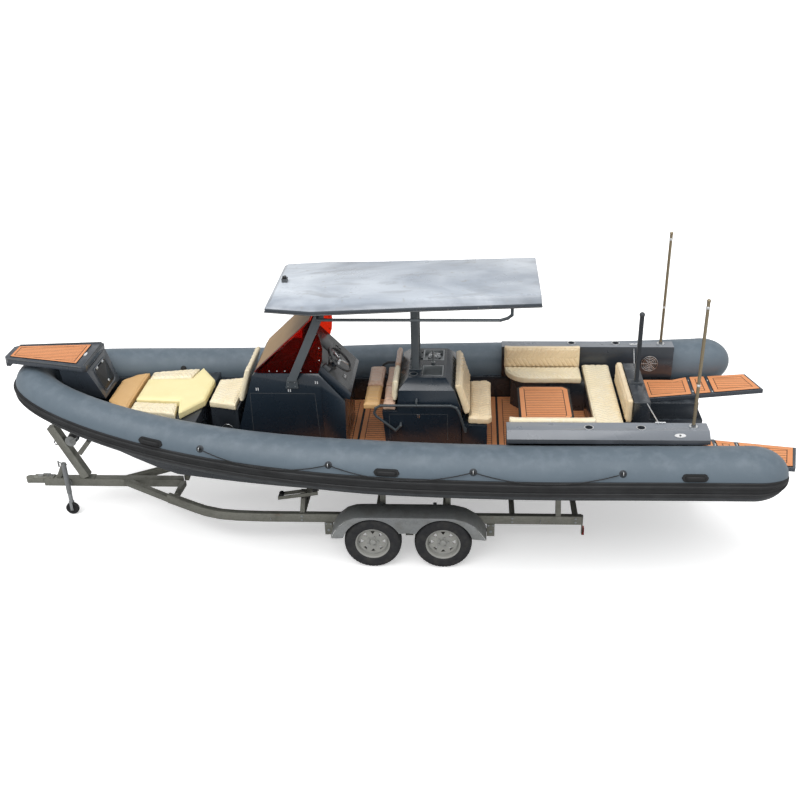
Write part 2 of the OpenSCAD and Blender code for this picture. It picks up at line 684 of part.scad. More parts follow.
module grab_rails() {
  place() color("#6d747b") both() {
    y = module_half_w + 52;
    bent_rod([[84, module_half_w + 1, 1540], [84, y, 1540], [140, y, 1480], [350, y, 1660],
      [372, y, 1700], [352, y, 1765], [300, y, 1795], [-480, y, 1795], [-540, y, 1770],
      [-575, y, 1700], [-640, y, 1470], [-640, 482, 1470]], 30);
    rod([-100, module_half_w + 1, 1850], [-100, y, 1850], 24);
    rod([-100, y, 1850], [-100, y, 1795], 24);
  }
}
module aft_seat() {
  place() color("#dcc493") {
    pad([[-662, 470], [-662, -470], [-905, -490], [-950, -440], [-950, 440],
      [-905, 490]], seat_z, 100);
    translate([-634, 0, 1600]) rotate([0, 17, 0]) translate([-82, -470, 20]) cube([78, 940, 400]);
  }
}

// ---- aft lounge ----
base_top = seat_z - 101;
module lounge_base() {
  place() color("#20262d") {
    both() slab_z([[-2378, 930], [-1330, 930], [-1190, 860], [-1190, 760], [-1330, 590],
      [-2040, 590], [-2378, 590]], sole_z, base_top);
    slab_z([[-2378, 590], [-2085, 590], [-2085, -590], [-2378, -590]], sole_z, base_top);
  }
}
module lounge_cushions() {
  place() color("#e6cf9c") {
    both() slab_z(concat([[-2048, 862], [-2048, lounge_gap_y], [-1400, lounge_gap_y]],
      [for (a = [0:15:75]) [-1400 + 300 * sin(a), 862 - (862 - lounge_gap_y) * cos(a)]],
      [[-1100, 862]]), seat_z - 100, seat_z);
    slab_z([[-2058, 930], [-2410, 930], [-2410, -930], [-2058, -930]], seat_z - 100, seat_z);
  }
}
module lounge_backrests() {
  place() color("#e6cf9c") {
    both() box([-2050, 868, seat_z - 60], [-1095, 944, coaming_z + 40]);
    box([-2494, -510, seat_z - 60], [-2418, 510, coaming_z + 30]);
  }
}
module table_top() {
  place() color("#c8743c") slab_z([[-1250, table_w / 2 - 50], [-1300, table_w / 2],
    [-1250 - table_l + 70, table_w / 2], [-1250 - table_l, table_w / 2 - 70],
    [-1250 - table_l, -table_w / 2 + 70], [-1250 - table_l + 70, -table_w / 2],
    [-1300, -table_w / 2], [-1250, -table_w / 2 + 50]], table_z - 38, table_z);
}
module table_pedestal() {
  place() color("#b9bdc0") translate([-1250 - table_l / 2, 0, sole_z]) {
    cylinder(d = 240, h = 14);
    translate([0, 0, 14]) cylinder(d = 84, h = table_z - 38 - sole_z - 26);
    translate([0, 0, table_z - 38 - sole_z - 12]) cylinder(d = 220, h = 11);
  }
}

// ---- stern ----
coaming_prof = [[0, 1410], [0, 1820], [170, 1820], [258, 1756], [268, 1712], [205, 1684],
  [135, 1628], [76, 1548], [44, 1410]];
cup_xs = [-1944, -2489];
cup_y = coaming_y + 112;
pole_x = -3036;
pole_y = 1040;
module coamings() {
  place() color("#39404a") both() difference() {
    rotate([90, 0, 90]) translate([coaming_y, 0, coaming_aft_x])
      linear_extrude(coaming_front_x - coaming_aft_x)
        polygon([for (p = coaming_prof) [p[0], p[1] == 1820 ? coaming_z : p[1]]]);
    for (x = cup_xs) translate([x, cup_y, coaming_z - 90]) cylinder(d = cup_d, h = 200);
    translate([pole_x, pole_y, coaming_z - 120]) cylinder(d = pole_d + 6, h = 200);
    // forward end slopes down
    translate([coaming_front_x, 0, coaming_z]) rotate([0, 24, 0])
      translate([-20, coaming_y - 50, 0]) cube([300, 500, 300]);
  }
}
bulk_y = 500;
bulk_front = -2500;
module stern_bulkhead() {
  place() color("#343b45") {
    box([-2680, -bulk_y, teak_z + 1], [bulk_front, bulk_y, coaming_z]);
    // side decks beside the engine well
    both() difference() {
      slab_z([[-2800, 430], [-2800, 930], [transom_x + 60, 930], [transom_x + 60, 430]],
        teak_z + 1, platform_z - 62);
    }
    // steps from the cockpit up to the platforms
    both() box([-2790, 510, teak_z + 1], [-2690, 930, 1300]);
  }
}
module swim_platforms() {
  place() color("#3c434d") both()
    slab_z([[-2810, 432], [-2810, 938], [-3200, 938], [-3420, 1022], [-3640, 1046],
      [-4140, 1115], [-4262, 700], [-4262, 694]], platform_z - 7 - platform_t, platform_z - 7);
}
mast_x = -2590;
module mast() {
  place() color("#2b3036") {
    translate([mast_x, 0, coaming_z + 1]) {
      translate([-70, -45, 0]) cube([140, 90, 14]);
      translate([-22, -22, 14]) cube([44, 44, 820]);
      translate([0, 0, 834]) sphere(d = 62);
    }
  }
}
module awning_poles() {
  place() color("#a79c85") both() {
    translate([pole_x, pole_y, coaming_z - 118]) cylinder(d = pole_d, h = pole_top_z - coaming_z + 118);
    translate([pole_x, pole_y, pole_top_z]) sphere(d = pole_d + 8);
  }
}
module deck_fittings() {
  place() {
    color("#b9bdc0") both() {
      // cup holders
      for (x = cup_xs) translate([x, cup_y, coaming_z + 0.5]) difference() {
        cylinder(d = cup_d + 24, h = 5);
        translate([0, 0, -1]) cylinder(d = cup_d, h = 8);
      }
      // pole sockets
      translate([pole_x, pole_y, coaming_z + 0.5]) difference() {
        cylinder(d = 92, h = 14);
        translate([0, 0, -1]) cylinder(d = pole_d + 4, h = 30);
      }
      // gate bars over the side decks
      rod([-2640, bulk_y + 1, coaming_z - 14], [-2700, coaming_y - 2, coaming_z - 22], 14);
    }
    // speakers in the coamings
    color("#17181a") both() translate([-2905, coaming_y - 0.5, 1600]) rotate([90, 0, 0])
      cylinder(d = 210, h = 10);
    // light on the front edge of the roof
    color("#17181a") translate([roof_front_x - 60, 0, roof_front_z + 3.5]) {
      translate([-30, -35, 0]) cube([60, 70, 40]);
      translate([0, 0, 40]) cylinder(d = 46, h = 22);
    }
  }
}

// ---- trailer ----
drawbar_top = rail_z + 80;
drawbar_end = 2840;
module drawbar() {
  place() color("#6e6e68") {
    box([drawbar_end, -drawbar_s / 2, drawbar_top - drawbar_s], [4560, drawbar_s / 2, drawbar_top]);
    // latch plate on the coupling head
    translate([4440, -40, drawbar_top + 1]) cube([250, 80, 12]);
    difference() {
      union() {
        box([4570, -38, drawbar_top - 70], [coupling_x - 40, 38, drawbar_top]);
        translate([coupling_x - 42, 0, drawbar_top - 70]) cylinder(d = 84, h = 70);
      }
      translate([coupling_x - 42, 0, drawbar_top - 71]) cylinder(d = 51, h = 45);
    }
  }
}
rail_bend = [[1700, 0], [2000, 12], [2209, 38], [2400, 98], [2535, 165], [2913, 368]];
module chassis_rails() {
  place() color("#77787a") both() {
    out = concat([[-1970, rail_y]], [for (p = rail_bend) [p[0], rail_y - p[1]]]);
    slab_z(concat(out, [for (i = [len(out) - 1:-1:0])
      [out[i][0] - (i > 1 ? 22 : 0), out[i][1] - rail_w]]), rail_z, rail_z + rail_h);
    // arms that meet the drawbar
    slab_z([[3560, 52], [2890, 438], [2868, 385], [3440, 52]], rail_z, drawbar_top);
  }
}
module cross_members() {
  place() color("#6e6e68") {
    ry = rail_y - rail_w - 1;
    for (x = [1240, -1180, -1900]) {
      both() slab_x([[0, 415], [0, 475], [120, 475], [ry, 500], [ry, 440], [130, 415]], x - 30, x + 30);
    }
    both() slab_x([[52, 400], [52, 470], [300, 500], [392, 500], [392, 440], [300, 430]], 2780, 2836);
  }
}
module slab_x(pts, x0, x1) {
  translate([x0, 0, 0]) rotate([90, 0, 90]) linear_extrude(x1 - x0) polygon(pts);
}
hanger_x = 935;
spring_y = rail_y - rail_w / 2;
module axles() {
  place() color("#55575a") {
    for (x = [axle_gap / 2, -axle_gap / 2]) {
      translate([x, 0, axle_z]) rotate([90, 0, 0])
        cylinder(d = 50, h = 2 * (wheel_out_y - tyre_w / 2 - 62), center = true);
      // stub axles that carry the wheels
      both() translate([x, wheel_out_y - tyre_w / 2 - 62, axle_z]) rotate([-90, 0, 0]) {
        cylinder(d = 150, h = 30);
        cylinder(d = 34, h = 64);
      }
    }
    both() {
      // leaf springs under the axles
      for (m = [0, 1]) mirror([m, 0, 0]) for (k = [0:2])
        box([k == 0 ? 82 : axle_gap / 2 - 300 + k * 80, spring_y - 30, axle_z - 36 - k * 9],
          [k == 0 ? hanger_x - 18 : axle_gap / 2 + 420 - k * 110, spring_y + 30,
          axle_z - 27.5 - k * 9]);
      for (x = [hanger_x, -hanger_x]) translate([x, spring_y, axle_z - 31]) rotate([90, 0, 0])
        cylinder(d = 34, h = 60, center = true);
      // middle equaliser
      box([-80, spring_y - 30, axle_z - 52], [80, spring_y + 30, axle_z - 12]);
      // hanger plates under the rails
      for (x = [hanger_x, 0, -hanger_x]) for (y = [spring_y - 40, spring_y + 32])
        box([x - 45, y, 232], [x + 45, y + 8, rail_z - 1]);
    }
  }
}
fender_z = 692;
fender_in = 850;
fender_t = 5;
fender_out = wheel_out_y + 14;
fender_prof = [[-883, 405], [-840, 480], [-760, 580], [-650, 650], [-520, fender_z - 6],
  [-430, fender_z], [500, fender_z], [590, fender_z - 6], [690, 650], [770, 580], [830, 500],
  [866, 415]];
module fenders() {
  place() color("#8b8e90") both() {
    in = [for (p = fender_prof) [p[0] * 0.994, p[1] - fender_t]];
    slab_y(concat(fender_prof, [for (i = [len(in) - 1:-1:0]) in[i]]), fender_in, fender_out);
    difference() {
      slab_y(concat([for (p = fender_prof) [p[0] * 0.99, p[1] - fender_t - 0.5]],
        [[780, 410], [0, 490], [-780, 410]]), fender_out - 4, fender_out);
      for (x = [axle_gap / 2, -axle_gap / 2]) translate([x, fender_out, axle_z])
        rotate([90, 0, 0]) cylinder(d = tyre_d + 30, h = 50, center = true);
    }
    // brackets to the chassis
    for (x = [300, -300]) translate([x - 20, 0, 0]) {
      box([0, rail_y + 1, 420], [40, rail_y + 7, fender_z - fender_t - 1]);
      box([0, rail_y + 1, fender_z - fender_t - 7], [40, fender_in + 50, fender_z - fender_t - 1]);
    }
  }
}
module wheel_at(x, s) {
  translate([x, s * (wheel_out_y - tyre_w / 2), axle_z]) rotate([-90, 0, s > 0 ? 0 : 180]) children();
}
module tyre(x, s) {
  w = tyre_w / 2;
  r = tyre_d / 2;
  b = rim_d / 2;
  place() color("#26272a") wheel_at(x, s) rotate_extrude($fn = 128)
    polygon([[b + 2, -w + 22], [b + 18, -w + 8], [b + 60, -w], [r - 40, -w + 6], [r - 12, -w + 22],
      [r - 2, -w + 48], [r, -14], [r, 14], [r - 2, w - 48], [r - 12, w - 22], [r - 40, w - 6],
      [b + 60, w], [b + 18, w - 8], [b + 2, w - 22]]);
}
module rim(x, s) {
  w = tyre_w / 2;
  b = rim_d / 2;
  place() color("#9a9b98") wheel_at(x, s) {
    rotate_extrude($fn = 128) polygon([[b + 1, -w + 23], [b + 1, w - 23], [b + 12, w - 12],
      [b + 8, w - 8], [b - 6, w - 18], [b - 10, w - 30], [b - 16, 30], [b - 16, -w + 30],
      [b - 4, -w + 16]]);
    difference() {
      translate([0, 0, 20]) cylinder(r = b - 15, h = 10);
      for (a = [0:45:315]) rotate([0, 0, a]) translate([112, 0, 10]) linear_extrude(40)
        polygon([[-16, 0], [26, 27], [26, -27]]);
      translate([0, 0, 10]) cylinder(d = 66, h = 40);
      for (a = [0:72:288]) rotate([0, 0, a + 36]) translate([57, 0, 10]) cylinder(d = 15, h = 40);
    }
    // hub, grease cap and wheel nuts
    difference() {
      translate([0, 0, -20]) cylinder(d = 110, h = 39.5);
      translate([0, 0, -30]) cylinder(d = 36, h = 36);
    }
    translate([0, 0, 19]) cylinder(d = 64, h = 34);
    for (a = [0:72:288]) rotate([0, 0, a + 36]) translate([57, 0, 19.3]) {
      cylinder(d = 14, h = 20);
      translate([0, 0, 11]) cylinder(d = 24, h = 12, $fn = 6);
    }
  }
}
post_d = unit([4357 - 4033, 0, 1194 - 460]);
module winch_post() {
  place() color("#66665f") {
    a = atan2(post_d[0], post_d[2]);
    translate([4020, 0, drawbar_top + 3]) rotate([0, a, 0]) {
      translate([-50, -50, 20]) cube([100, 100, 770]);
      translate([-54, -54, 440]) cube([108, 3.5, 90]);
    }
    box([3930, -60, drawbar_top + 1], [4130, 60, drawbar_top + 9]);
    // brace and bow-stop arm
    slab_y([[4410, drawbar_top + 1], [4350, drawbar_top + 1], [4265, 640], [4310, 680]], -30, 30);
    slab_y([[4080, 840], [4035, 800], [3895, 975], [3940, 1010]], -30, 30);
    // winch drum and bow roller
    translate([4120, 0, 1015]) rotate([90, 0, 0]) cylinder(d = 110, h = 110, center = true);
    box([4130, -40, 960], [4250, 40, 990]);
  }
}
bunk_y = 640;
function keel_under(y) = keel_z + y * tan(deadrise);
module bunks() {
  place() {
    both() {
      color("#3b3c3d") slab_x([[bunk_y - 45, keel_under(bunk_y - 45) - 55],
        [bunk_y - 45, keel_under(bunk_y - 45) - 6], [bunk_y + 45, keel_under(bunk_y + 45) - 6],
        [bunk_y + 45, keel_under(bunk_y + 45) - 55]], -1850, 620);
      color("#77787a") for (x = [300, -447, -1700])
        slab_x([[bunk_y + 20, keel_under(bunk_y + 20) - 57], [bunk_y + 44, keel_under(bunk_y + 44) - 57],
          [rail_y - 2, rail_z + rail_h + 60], [rail_y - 2, rail_z + rail_h + 1],
          [rail_y - rail_w + 4, rail_z + rail_h + 1]], x - 30, x + 30);
    }
  }
}
module keel_rollers() {
  place() {
    both() {
      color("#66665f") {
        slab_y([[1530, 596], [1530, 640], [1060, 715], [1060, 668]], bunk_y - 90, bunk_y - 78);
        slab_y([[1530, 596], [1530, 640], [1060, 715], [1060, 668]], bunk_y - 2, bunk_y + 10);
        slab_x([[bunk_y - 75, 506], [bunk_y + 130, 506], [bunk_y + 15, 628], [bunk_y - 5, 628],
          [bunk_y - 5, 700], [bunk_y - 75, 700]], 1210, 1262);
      }
      color("#232426") for (p = [[1495, 640], [1095, 712]])
        translate([p[0], bunk_y - 77, p[1]]) rotate([-90, 0, 0]) cylinder(d = 60, h = 74);
    }
    color("#232426") for (x = [-1180, 1240]) translate([x, 0, keel_z - 36]) rotate([90, 0, 0])
      cylinder(d = 60, h = 110, center = true);
  }
}
jack_y = drawbar_s / 2 + 14 + jack_d / 2;
swivel_z = drawbar_top - drawbar_s / 2 + 5;
module jack_tube() {
  place() color("#a4a6a6") {
    translate([jack_x, jack_y, swivel_z - 125]) difference() {
      cylinder(d = jack_d, h = 395);
      translate([0, 0, -1]) cylinder(d = jack_d - 8, h = 375);
    }
    // swivel disc against the drawbar
    translate([jack_x, drawbar_s / 2 + 6, swivel_z]) rotate([-90, 0, 0])
      cylinder(d = 90, h = jack_y - drawbar_s / 2 - 6 - jack_d / 2 + 3);
    translate([jack_x, jack_y, swivel_z + 270]) cylinder(d = jack_d + 6, h = 26);
    rod([jack_x, jack_y, swivel_z + 296], [jack_x + 60, jack_y, swivel_z + 296 + 20], 12);
    rod([jack_x + 60, jack_y, swivel_z + 250], [jack_x + 60, jack_y, swivel_z + 330], 20);
  }
}
fork_z = jockey_d / 2;
crown_z = jockey_d + 8;
module jack_leg() {
  place() color("#b4b6b6") {
    translate([jack_x, jack_y, crown_z + 12]) difference() {
      cylinder(d = jack_d - 10, h = 372);
      translate([0, 0, 20]) cylinder(d = jack_d - 16, h = 400);
    }
    translate([jack_x, jack_y, crown_z + 6]) cylinder(d = jack_d + 4, h = 6);
    for (s = [1, -1]) translate([jack_x, jack_y + s * 33, 0])
      box([-18, -2.5, fork_z - 18], [18, 2.5, crown_z + 6]);
    translate([jack_x - 18, jack_y - 30.5, crown_z]) cube([36, 61, 6]);
    translate([jack_x, jack_y, fork_z]) rotate([90, 0, 0]) cylinder(d = 12, h = 74, center = true);
  }
}
module jockey_wheel() {
  place() color("#232426") translate([jack_x, jack_y, fork_z]) rotate([90, 0, 0])
    rotate_extrude() polygon([[6.5, -22], [30, -22], [34, -16], [50, -16], [jockey_d / 2 - 8, -24],
      [jockey_d / 2, -16], [jockey_d / 2, 16], [jockey_d / 2 - 8, 24], [50, 16], [34, 16],
      [30, 22], [6.5, 22]]);
}
module trailer_lights() {
  place() both() {
    color("#77787a") box([-1985, rail_y - 50, 250], [-1973, rail_y - 8, rail_z + rail_h]);
    color("#a02820") box([-2003, rail_y - 62, 255], [-1986, rail_y + 6, 345]);
  }
}

rigid_hull();
hull_sides();
teak_decking();
tube_collar();
rub_strake();
tube_fittings();
grab_lines();
bow_step();
locker_door();
bow_seat_base();
bow_cushions();
bow_infill();
console_seat();
console();
windscreen();
helm_wheel();
throttle();
roof();
roof_frame();
roof_rails();
seat_module();
sink_unit();
helm_seats();
bolster(1);  // bolster_port
bolster(-1);  // bolster_starboard
grab_rails();
aft_seat();
lounge_base();
lounge_cushions();
lounge_backrests();
table_top();
table_pedestal();
coamings();
stern_bulkhead();
mast();
awning_poles();
swim_platforms();
deck_fittings();
drawbar();
chassis_rails();
cross_members();
axles();
fenders();
tyre(axle_gap / 2, 1);  // tyre_front_port
rim(axle_gap / 2, 1);  // rim_front_port
tyre(-axle_gap / 2, 1);  // tyre_rear_port
rim(-axle_gap / 2, 1);  // rim_rear_port
tyre(axle_gap / 2, -1);  // tyre_front_starboard
rim(axle_gap / 2, -1);  // rim_front_starboard
tyre(-axle_gap / 2, -1);  // tyre_rear_starboard
rim(-axle_gap / 2, -1);  // rim_rear_starboard
winch_post();
bunks();
keel_rollers();
jack_tube();
jack_leg();
jockey_wheel();
trailer_lights();
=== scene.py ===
"""Looks of a rigid inflatable cruiser on its twin-axle trailer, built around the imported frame.

Metres, in the frame's own axes: +X forward, +Y to port, +Z up, z = 0 on the ground.
"""
import json
import math

import bmesh
import bpy
import numpy as np
from mathutils import Matrix, Vector


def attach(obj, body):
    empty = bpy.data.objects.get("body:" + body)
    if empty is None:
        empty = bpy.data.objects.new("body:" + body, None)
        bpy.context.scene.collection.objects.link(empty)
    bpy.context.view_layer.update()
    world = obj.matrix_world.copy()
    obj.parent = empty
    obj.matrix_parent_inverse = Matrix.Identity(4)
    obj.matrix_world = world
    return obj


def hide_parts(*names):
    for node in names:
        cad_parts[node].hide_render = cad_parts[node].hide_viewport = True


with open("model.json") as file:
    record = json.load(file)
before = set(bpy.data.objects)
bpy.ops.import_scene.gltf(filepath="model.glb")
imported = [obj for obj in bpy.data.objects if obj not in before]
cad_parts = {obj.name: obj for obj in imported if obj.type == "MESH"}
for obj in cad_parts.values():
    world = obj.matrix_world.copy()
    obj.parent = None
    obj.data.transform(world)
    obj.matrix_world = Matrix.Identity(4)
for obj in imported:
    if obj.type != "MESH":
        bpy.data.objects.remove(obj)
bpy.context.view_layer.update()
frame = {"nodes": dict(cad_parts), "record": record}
NODES = frame["nodes"]
BODY_OF = {n: b for b, ns in frame["record"]["behaviour"]["bodies"].items() for n in ns}
ROOT = "boat_and_trailer"
RNG = np.random.default_rng(7)

# ---------------------------------------------------------------- materials


def rgb(code):
    """A linear colour from its six-digit sRGB code."""
    parts = [int(code[i:i + 2], 16) / 255 for i in (0, 2, 4)]
    return tuple(c / 12.92 if c < 0.04045 else ((c + 0.055) / 1.055) ** 2.4 for c in parts) + (1.0,)


class Finish:
    """One procedural material: a base colour with layers of variation and bump on top."""

    def __init__(self, name, colour, rough, **sockets):
        self.mat = bpy.data.materials.new(name)
        self.mat.use_nodes = True
        self.tree = self.mat.node_tree
        self.shader = self.tree.nodes["Principled BSDF"]
        self.shader.inputs["Base Color"].default_value = rgb(colour)
        self.shader.inputs["Roughness"].default_value = rough
        for key, value in sockets.items():
            self.shader.inputs[key.replace("_", " ").title().replace("Ior", "IOR")].default_value = value
        self.colour = None
        self.normal = None
        self.base = rgb(colour)
        self.base_rough = rough
        self.place = self.tree.nodes.new("ShaderNodeTexCoord").outputs["Object"]

    def link(self, a, b):
        self.tree.links.new(a, b)

    def mapped(self, stretch=(1, 1, 1), turn=(0, 0, 0)):
        node = self.tree.nodes.new("ShaderNodeMapping")
        node.inputs["Scale"].default_value = stretch
        node.inputs["Rotation"].default_value = turn
        self.link(self.place, node.inputs["Vector"])
        return node.outputs["Vector"]

    def noise(self, scale, detail=3.0, stretch=(1, 1, 1), distortion=0.0, rough=0.55):
        node = self.tree.nodes.new("ShaderNodeTexNoise")
        node.inputs["Scale"].default_value = scale
        node.inputs["Detail"].default_value = detail
        node.inputs["Roughness"].default_value = rough
        node.inputs["Distortion"].default_value = distortion
        self.link(self.mapped(stretch), node.inputs["Vector"])
        return node.outputs["Fac"]

    def cells(self, scale, feature="F1", stretch=(1, 1, 1)):
        node = self.tree.nodes.new("ShaderNodeTexVoronoi")
        node.feature = feature
        node.inputs["Scale"].default_value = scale
        self.link(self.mapped(stretch), node.inputs["Vector"])
        return node.outputs["Distance"]

    def waves(self, scale, axis="X", distortion=0.0, stretch=(1, 1, 1), turn=(0, 0, 0)):
        node = self.tree.nodes.new("ShaderNodeTexWave")
        node.bands_direction = axis
        node.inputs["Scale"].default_value = scale
        node.inputs["Distortion"].default_value = distortion
        self.link(self.mapped(stretch, turn), node.inputs["Vector"])
        return node.outputs["Fac"]

    def per_island(self):
        return self.tree.nodes.new("ShaderNodeNewGeometry").outputs["Random Per Island"]

    def facing_up(self):
        """How far the surface faces up, from 0 to 1."""
        split = self.tree.nodes.new("ShaderNodeSeparateXYZ")
        self.link(self.tree.nodes.new("ShaderNodeNewGeometry").outputs["Normal"], split.inputs[0])
        return self.between(split.outputs["Z"], 0.25, 0.95)

    def worn_edges(self):
        """High on convex edges."""
        out = self.tree.nodes.new("ShaderNodeNewGeometry").outputs["Pointiness"]
        return self.between(out, 0.51, 0.56)

    def between(self, value, low, high, out_low=0.0, out_high=1.0):
        node = self.tree.nodes.new("ShaderNodeMapRange")
        for key, number in (("From Min", low), ("From Max", high), ("To Min", out_low), ("To Max", out_high)):
            node.inputs[key].default_value = number
        self.link(value, node.inputs["Value"])
        return node.outputs["Result"]

    def times(self, a, b):
        node = self.tree.nodes.new("ShaderNodeMath")
        node.operation = "MULTIPLY"
        self.link(a, node.inputs[0])
        self.link(b, node.inputs[1])
        return node.outputs[0]

    def tint(self, mask, colour):
        """Moves the colour towards another one where the mask is high."""
        node = self.tree.nodes.new("ShaderNodeMix")
        node.data_type = "RGBA"
        if self.colour is None:
            node.inputs[6].default_value = self.base
        else:
            self.link(self.colour, node.inputs[6])
        node.inputs[7].default_value = rgb(colour)
        self.link(mask, node.inputs[0])
        self.colour = node.outputs[2]
        self.link(self.colour, self.shader.inputs["Base Color"])
        return self

    def roughen(self, mask, low, high):
        self.link(self.between(mask, 0.3, 0.7, low, high), self.shader.inputs["Roughness"])
        return self

    def bump(self, height, distance, strength=1.0, socket="Normal"):
        node = self.tree.nodes.new("ShaderNodeBump")
        node.inputs["Strength"].default_value = strength
        node.inputs["Distance"].default_value = distance
        self.link(height, node.inputs["Height"])
        if socket == "Normal" and self.normal is not None:
            self.link(self.normal, node.inputs["Normal"])
        if socket == "Normal":
            self.normal = node.outputs["Normal"]
        self.link(node.outputs["Normal"], self.shader.inputs[socket])
        return self


def tube_fabric():
    f = Finish("tube_fabric", "5b6974", 0.5, sheen_weight=0.12, sheen_roughness=0.5)
    f.tint(f.between(f.noise(1.1, 3), 0.35, 0.7, 0, 0.35), "6a7883")
    f.tint(f.between(f.noise(5.0, 5, (0.3, 1, 1)), 0.55, 0.8, 0, 0.25), "55626e")
    f.tint(f.times(f.facing_up(), f.between(f.noise(9, 4), 0.45, 0.75, 0, 0.30)), "8a959e")
    f.roughen(f.noise(3, 4), 0.42, 0.58)
    return f.bump(f.cells(650), 0.0003, 0.35).bump(f.noise(2.2, 2), 0.004, 0.25).mat


def rubber(name, colour, grain=420):
    f = Finish(name, colour, 0.52)
    f.tint(f.between(f.noise(6, 5, (0.4, 1, 1)), 0.5, 0.8, 0, 0.22), "4a4d50")
    f.roughen(f.noise(8, 4), 0.45, 0.66)
    return f.bump(f.noise(grain, 2), 0.0003, 0.3).mat


def gelcoat(name, colour, light, dust="8d949a"):
    f = Finish(name, colour, 0.24, coat_weight=0.35, coat_roughness=0.12)
    f.tint(f.between(f.noise(1.7, 4), 0.4, 0.75, 0, 0.4), light)
    f.tint(f.times(f.facing_up(), f.between(f.noise(7, 5), 0.5, 0.8, 0, 0.28)), dust)
    f.roughen(f.noise(4, 5), 0.2, 0.36)
    return f.bump(f.noise(55, 2), 0.0006, 0.12).mat


def painted_sky_light(name, colour, pale):
    """Dark gelcoat whose level faces are painted pale as painted sky light, with random grey mottling over the whole.
    """
    f = Finish(name, colour, 0.28, coat_weight=0.35, coat_roughness=0.12)
    f.tint(f.between(f.facing_up(), 0.3, 1.0, 0, 0.8), pale)
    f.tint(f.between(f.noise(2.4, 5), 0.5, 0.8, 0, 0.25), "6b727b")
    f.roughen(f.noise(4, 5), 0.24, 0.4)
    return f.bump(f.noise(55, 2), 0.0006, 0.12).mat


def roof_skin():
    f = Finish("roof_skin", "454c54", 0.3, coat_weight=0.3, coat_roughness=0.1)
    # painted sky reflection: upward faces are painted pale blue-grey, with bright and darker streaks over the top
    f.tint(f.between(f.facing_up(), 0, 1, 0, 0.62), "b0b9c6")
    f.tint(f.between(f.facing_up(), 0.9, 1.0), "a6afbb")
    f.tint(f.times(f.facing_up(), f.between(f.noise(0.9, 5, (0.7, 1.2, 1), 0.6), 0.38, 0.62, 0, 0.9)), "dde4ec")
    f.tint(f.times(f.facing_up(), f.between(f.noise(2.6, 6, (0.6, 1.5, 1), 1.2), 0.52, 0.74, 0, 0.6)), "8b8d90")
    f.tint(f.between(f.noise(14, 5), 0.62, 0.75, 0, 0.5), "9b968c")
    f.roughen(f.noise(2.2, 5), 0.2, 0.45)
    return f.bump(f.noise(3, 3), 0.002, 0.2).mat


def teak():
    f = Finish("teak_plank", "ea9f6c", 0.58)
    f.tint(f.between(f.per_island(), 0, 1, 0, 0.45), "dd8c58")
    f.tint(f.between(f.noise(2.4, 4, (1, 26, 26), 0.4), 0.50, 0.74, 0, 0.30), "c27645")
    f.tint(f.between(f.noise(9, 5, (0.6, 30, 30)), 0.55, 0.75, 0, 0.45), "f3b588")
    f.roughen(f.noise(20, 3, (0.3, 4, 4)), 0.5, 0.68)
    return f.bump(f.noise(26, 5, (0.4, 12, 12)), 0.0006, 0.5).mat


def vinyl(name, colour, shade, light):
    """Bare upholstery vinyl."""
    f = Finish(name, colour, 0.46, coat_weight=0.08, coat_roughness=0.3)
    f.tint(f.between(f.noise(3.5, 4), 0.4, 0.7, 0, 0.4), shade)
    f.tint(f.between(f.noise(16, 3), 0.55, 0.8, 0, 0.3), light)
    return f.bump(f.cells(520), 0.0004, 0.35).bump(f.noise(9, 3), 0.003, 0.3).mat


def wrapped_vinyl(name, colour, shade, painted_glint):
    """Vinyl still in its clear wrapping, which crinkles, with painted glints on the creases and painted crease shade.
    """
    f = Finish(name, colour, 0.42, coat_weight=0.85, coat_roughness=0.09)
    f.tint(f.between(f.noise(4, 4), 0.42, 0.7, 0, 0.5), shade)
    crease = f.noise(17, 6, (1, 1, 1), 2.2, 0.62)
    # painted highlight: the wrap's crease ridges are painted towards a pale glint colour
    f.tint(f.between(crease, 0.56, 0.66, 0, 0.55), painted_glint)
    # painted shade: darker brown streaks stand in for shade in the wrap's creases
    f.tint(f.between(f.noise(33, 5, (1, 1, 1), 3.0), 0.60, 0.70, 0, 0.3), "b99c70")
    return f.bump(crease, 0.010, 0.75).bump(crease, 0.018, 1.0, "Coat Normal").mat


def galvanised(name, colour, light, dark):
    f = Finish(name, colour, 0.55, metallic=0.55)
    f.tint(f.between(f.cells(42), 0.15, 0.6, 0, 0.35), light)
    f.tint(f.between(f.noise(5, 6), 0.5, 0.72, 0, 0.7), dark)
    f.tint(f.between(f.noise(11, 7), 0.66, 0.76, 0, 0.55), "6b4a30")
    f.tint(f.between(f.worn_edges(), 0, 1, 0, 0.25), "a9a9a2")
    f.roughen(f.noise(12, 5), 0.45, 0.72)
    return f.bump(f.noise(70, 4), 0.0009, 0.35).mat


def steel(name, colour, rough):
    f = Finish(name, colour, rough, metallic=1.0)
    f.tint(f.between(f.noise(30, 4, (0.2, 1, 1)), 0.5, 0.8, 0, 0.3), "8f9294")
    return f.roughen(f.noise(45, 4, (0.1, 1, 1)), rough, rough + 0.14).mat


def painted(name, colour, light, rough=0.38):
    f = Finish(name, colour, rough, coat_weight=0.15, coat_roughness=0.25)
    f.tint(f.between(f.noise(6, 5), 0.45, 0.75, 0, 0.4), light)
    f.tint(f.between(f.worn_edges(), 0, 1, 0, 0.3), "8b9094")
    return f.roughen(f.noise(10, 4), rough - 0.06, rough + 0.14).bump(f.noise(160, 2), 0.0003, 0.2).mat


def acrylic(name, colour):
    f = Finish(name, colour, 0.04, transmission_weight=0.94, ior=1.12)
    return f.roughen(f.noise(3, 5), 0.03, 0.16).mat


def film_paper(name, colour, light):
    f = Finish(name, colour, 0.5)
    f.tint(f.between(f.noise(2.5, 5), 0.4, 0.7, 0, 0.5), light)
    return f.bump(f.noise(7, 4), 0.004, 0.4).mat


